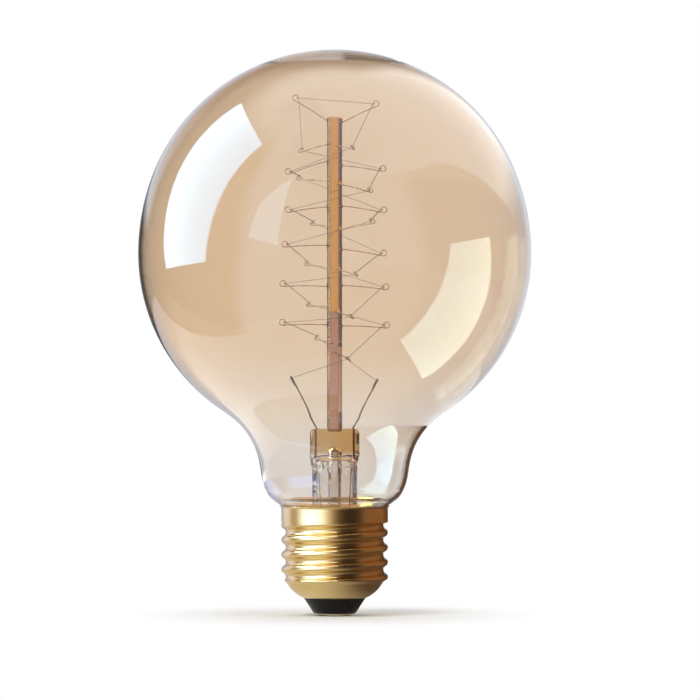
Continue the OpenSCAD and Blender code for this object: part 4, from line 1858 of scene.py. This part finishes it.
@dataclass(frozen=True)
class Screen:
    """A curved screen with a roof that glows, which only mirrored rays see.

    Azimuths are in degrees, clockwise from +Y as seen from above.

    Attributes:
        name: The screen's name.
        start: Azimuth at which it starts.
        sweep: The degrees that it goes on for.
        height: Its height in millimetres.
        inner: Radius at which its roof ends.
        top: Colour of the roof's upper face.
        reach: Its radius.
        foot: Height of its lower edge.
    """

    name: str
    start: float
    sweep: float
    height: float
    inner: float
    top: Colour
    reach: float = 56.0
    foot: float = 0.5

    def build(self, room: Room) -> None:
        """Makes the screen.

        Args:
            room: The room whose collar colours it takes.
        """
        bm = bmesh.new()
        start, sweep = math.radians(self.start), math.radians(self.sweep)
        rim = [(self.reach, self.foot), (self.reach, self.height), (self.inner, self.height)]
        verts = [bm.verts.new(Vector((r * math.sin(start), r * math.cos(start), z)) * MM)
                 for r, z in rim]
        edges = [bm.edges.new(pair) for pair in zip(verts, verts[1:])]
        bmesh.ops.spin(bm, geom=verts + edges, cent=(0, 0, 0), axis=-UP, angle=sweep, steps=48)
        bm.normal_update()
        down = [face for face in bm.faces if face.normal.z < -0.5]
        bmesh.ops.reverse_faces(bm, faces=down)

        def paint(canvas: Canvas, glow: bpy.types.Node) -> None:
            """Sets up the glow, with another colour on top of the roof.

            Args:
                canvas: The material's canvas.
                glow: Its Emission shader.
            """
            place = canvas.node("ShaderNodeTexCoord").outputs["Object"]
            seen = room.seen_from(canvas, place).outputs["Collar"]
            face = canvas.node("ShaderNodeNewGeometry").outputs
            level = canvas.math("ABSOLUTE", canvas.axis(face["True Normal"], "Z"))
            above = canvas.math("SUBTRACT", 1.0, face["Backfacing"])
            roof = canvas.math("MULTIPLY", canvas.math("GREATER_THAN", level, 0.5), above)
            canvas.fill(glow, {"Color": canvas.mix(roof, seen, self.top)})

        glowing(bm, self.name, paint)


@dataclass(frozen=True)
class Lamp:
    """A soft round lamp that only shines, and isn't mirrored.

    Attributes:
        name: The lamp's name.
        place: Its place in millimetres.
        level: Its share of the light on a face turned to it, where 1 is plain white.
        size: Its width in millimetres.
        target: The point that it shines on.
    """

    name: str
    place: Point3
    level: float
    size: float = 900.0
    target: Point3 = (0.0, 0.0, 88.0)

    def build(self) -> None:
        """Adds the lamp."""
        data = bpy.data.lights.new(self.name, "AREA")
        data.shape = "DISK"
        data.size = self.size * MM
        away = Vector(self.place) - Vector(self.target)
        data.energy = self.level * math.pi ** 2 * (away.length * MM) ** 2
        lamp = added(self.name, data)
        lamp.location = Vector(self.place) * MM
        lamp.rotation_euler = away.to_track_quat("Z", "Y").to_euler()
        lamp.visible_camera = False
        lamp.visible_glossy = False
        lamp.visible_transmission = False


@dataclass
class Studio:
    """The plain pale studio: floor, world, soft lamps, glowing cards and the camera.

    Attributes:
        distance: The camera's distance from the axis.
        eye_height: The camera's height.
        frame_width: Width of the picture at the axis.
        frame_middle: X and height of the picture's middle at the axis.
        floor_radius: The floor's radius.
        floor_colour: The floor's colour.
        floor_fade: Radii between which the floor turns white, in metres.
        floor_drop: How far the floor lies under the contact, in metres.
        ambient: Brightness of the world's light on the object.
        beside: What the glass shows behind it by the X of a direction.
        over: The same by the Z of a direction.
        cards: The cards.
        lamps: The lamps.
        room: What mirror faces see.
        bounces: The most times that a ray is mirrored or goes through glass.
        clear_bounces: The most times that it passes what it doesn't see.
    """

    distance: float = 1250.0
    eye_height: float = 70.0
    frame_width: float = 171.3
    frame_middle: Point2 = (3.75, 64.9)
    floor_radius: float = 6000.0
    floor_colour: Colour = (0.97, 0.97, 0.97)
    floor_fade: Point2 = (0.018, 0.055)
    floor_drop: float = 0.00002
    ambient: float = 0.6
    beside: Band = (
        (-1, (0.12, 0.07, 0.04)), (-0.5, (0.16, 0.1, 0.06)), (-0.38, (0.62, 0.56, 0.52)),
        (-0.2, (1.0, 1.0, 1.0)), (0.28, (1.0, 1.0, 1.0)), (0.6, (0.5, 0.45, 0.42)),
        (0.8, (0.3, 0.25, 0.22)), (1, (0.3, 0.25, 0.22)))
    over: Band = (
        (-1, (1.0, 1.0, 1.0)), (0.1, (1.0, 1.0, 1.0)), (0.22, (0.75, 0.72, 0.68)),
        (0.35, (0.5, 0.43, 0.36)), (0.48, (0.2, 0.1, 0.06)), (1, (0.2, 0.1, 0.06)))
    cards: tuple[Card, ...] = ()
    lamps: tuple[Lamp, ...] = ()
    room: Room = field(default_factory=Room)
    bounces: int = 32
    clear_bounces: int = 24

    def build_camera(self) -> None:
        """Puts the camera where the photograph was taken from."""
        data = bpy.data.cameras.new("camera")
        camera = added("camera", data)
        camera.location = Vector((0, -self.distance, self.eye_height)) * MM
        camera.rotation_euler = (math.radians(90), 0, 0)
        data.sensor_width = 36
        data.lens = data.sensor_width * self.distance / self.frame_width
        data.shift_x = self.frame_middle[0] / self.frame_width
        data.shift_y = (self.frame_middle[1] - self.eye_height) / self.frame_width
        data.clip_start = 0.01
        bpy.context.scene.camera = camera

    def seen_by(self, canvas: Canvas) -> dict[str, bpy.types.NodeSocket]:
        """Adds masks for how a ray got here: seen plainly, mirrored or from the camera.

        Args:
            canvas: The material's canvas.

        Returns:
            The masks by their names.
        """
        path = canvas.node("ShaderNodeLightPath").outputs
        through = canvas.math("MAXIMUM", path["Is Camera Ray"], path["Is Transmission Ray"])
        sharp = canvas.math("MAXIMUM", path["Is Glossy Ray"], path["Is Transmission Ray"])
        unscattered = canvas.math("LESS_THAN", path["Diffuse Depth"], 0.5)
        once = canvas.math("GREATER_THAN", path["Glossy Depth"], 0.5)
        mirrored = canvas.math("MULTIPLY", canvas.math("MULTIPLY", once, sharp), unscattered)
        return {"plain": canvas.math("MULTIPLY", through, unscattered), "mirrored": mirrored,
                "camera": path["Is Camera Ray"]}

    def build_world(self) -> None:
        """Makes the world: white as a background, and a room in reflections."""
        world = bpy.data.worlds.new("studio")
        bpy.context.scene.world = world
        world.use_nodes = True
        world.cycles.sampling_method = "NONE"
        canvas = Canvas(world.node_tree)
        seen = self.seen_by(canvas)
        way = canvas.node("ShaderNodeTexCoord").outputs["Generated"]
        x, z = (canvas.axis(way, name) for name in "XZ")
        beside = canvas.stops(x, self.beside, -1.0, 1.0)
        over = canvas.stops(z, self.over, -1.0, 1.0)
        behind = canvas.mix(1.0, beside, over, "MULTIPLY")
        behind = canvas.mix(seen["camera"], behind, WHITE)
        light = canvas.mix(seen["plain"], (self.ambient,) * 3, behind)
        light = canvas.mix(seen["mirrored"], light, self.room.above(canvas, way))
        canvas.feed(world.node_tree.nodes["Background"].inputs["Color"], light)

    def build_floor(self) -> None:
        """Makes the floor, which fades into the white background and keeps the shadow."""
        bm = bmesh.new()
        bmesh.ops.create_circle(bm, cap_ends=True, segments=96, radius=self.floor_radius * MM)
        made = bpy.data.materials.new("pale_floor")
        made.use_nodes = True
        canvas = Canvas(made.node_tree)
        shader = made.node_tree.nodes["Principled BSDF"]
        canvas.fill(shader, {"Base Color": self.floor_colour, "Roughness": 1.0,
                             "Specular IOR Level": 0.0})
        seen = self.seen_by(canvas)
        place = canvas.node("ShaderNodeTexCoord").outputs["Object"]
        away = canvas.fill(canvas.node("ShaderNodeVectorMath", operation="LENGTH"), {0: place})
        reach = away.outputs["Value"]
        glow = canvas.node("ShaderNodeEmission")
        # Mirrored rays see the room's table as a glow, with the bulb's shadow painted on it.
        table = self.room.below(canvas, place, reach)
        canvas.feed(glow.inputs["Color"], canvas.mix(seen["mirrored"], WHITE, table))
        share = canvas.math("MULTIPLY", seen["plain"], canvas.ramp(reach, *self.floor_fade))
        share = canvas.math("MAXIMUM", share, seen["mirrored"])
        canvas.surface(share, shader, glow)
        made.cycles.emission_sampling = "NONE"
        floor = meshed(bm, "floor", made)
        floor.location.z = -self.floor_drop

    def build(self) -> None:
        """Makes the whole studio."""
        self.build_camera()
        self.build_world()
        self.build_floor()
        for screen in self.room.screens:
            screen.build(self.room)
        for piece in (*self.cards, *self.lamps):
            piece.build()
        scene = bpy.context.scene
        scene.view_settings.view_transform = "Standard"
        scene.cycles.max_bounces = self.bounces
        scene.cycles.transmission_bounces = self.bounces
        scene.cycles.glossy_bounces = self.bounces
        scene.cycles.transparent_max_bounces = self.clear_bounces


CARDS = (
    Card("left_softbox", ((-303, 250, 554), (-342, -167, 562), (-589, -122, 46),
                          (-554, 239, 39)),
         colour=(0.63, 0.93, 1.1), power=7.0, power_inside=11.0),
    Card("front_left_softbox", ((-306, -563, 569), (-536, -514, 391), (-610, -510, 184),
                                (-427, -674, 134)), power=3.4, power_inside=1.5),
)


LAMPS = (
    Lamp("key", (-900, -1000, 1250), 0.4),
    Lamp("fill", (1200, -700, 800), 0.18),
    Lamp("top", (0, 500, 1400), 0.15),
)


SCREENS = (
    Screen("right_screen", 24, 154, height=46, inner=23, top=(0.9, 0.9, 0.9)),
    Screen("left_screen", 178, 190, height=30, inner=30, top=(1.2, 1.2, 1.2)),
)


def main() -> None:
    """Builds the bulb and its studio."""
    logging.basicConfig(level=logging.INFO, format="%(name)s: %(message)s")
    for leftover in list(bpy.data.objects):
        if leftover.type in {"MESH", "LIGHT", "CAMERA"} and "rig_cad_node" not in leftover:
            bpy.data.objects.remove(leftover)
    Studio(cards=CARDS, lamps=LAMPS, room=Room(screens=SCREENS)).build()
    Globe().build()
    Stem().build()
    leads = Leads()
    leads.build()
    cage = Cage()
    cage.build_rod()
    cage.build_supports()
    cage.build_filament(leads)
    Cap().build(leads)


if __name__ == "__main__":
    main()
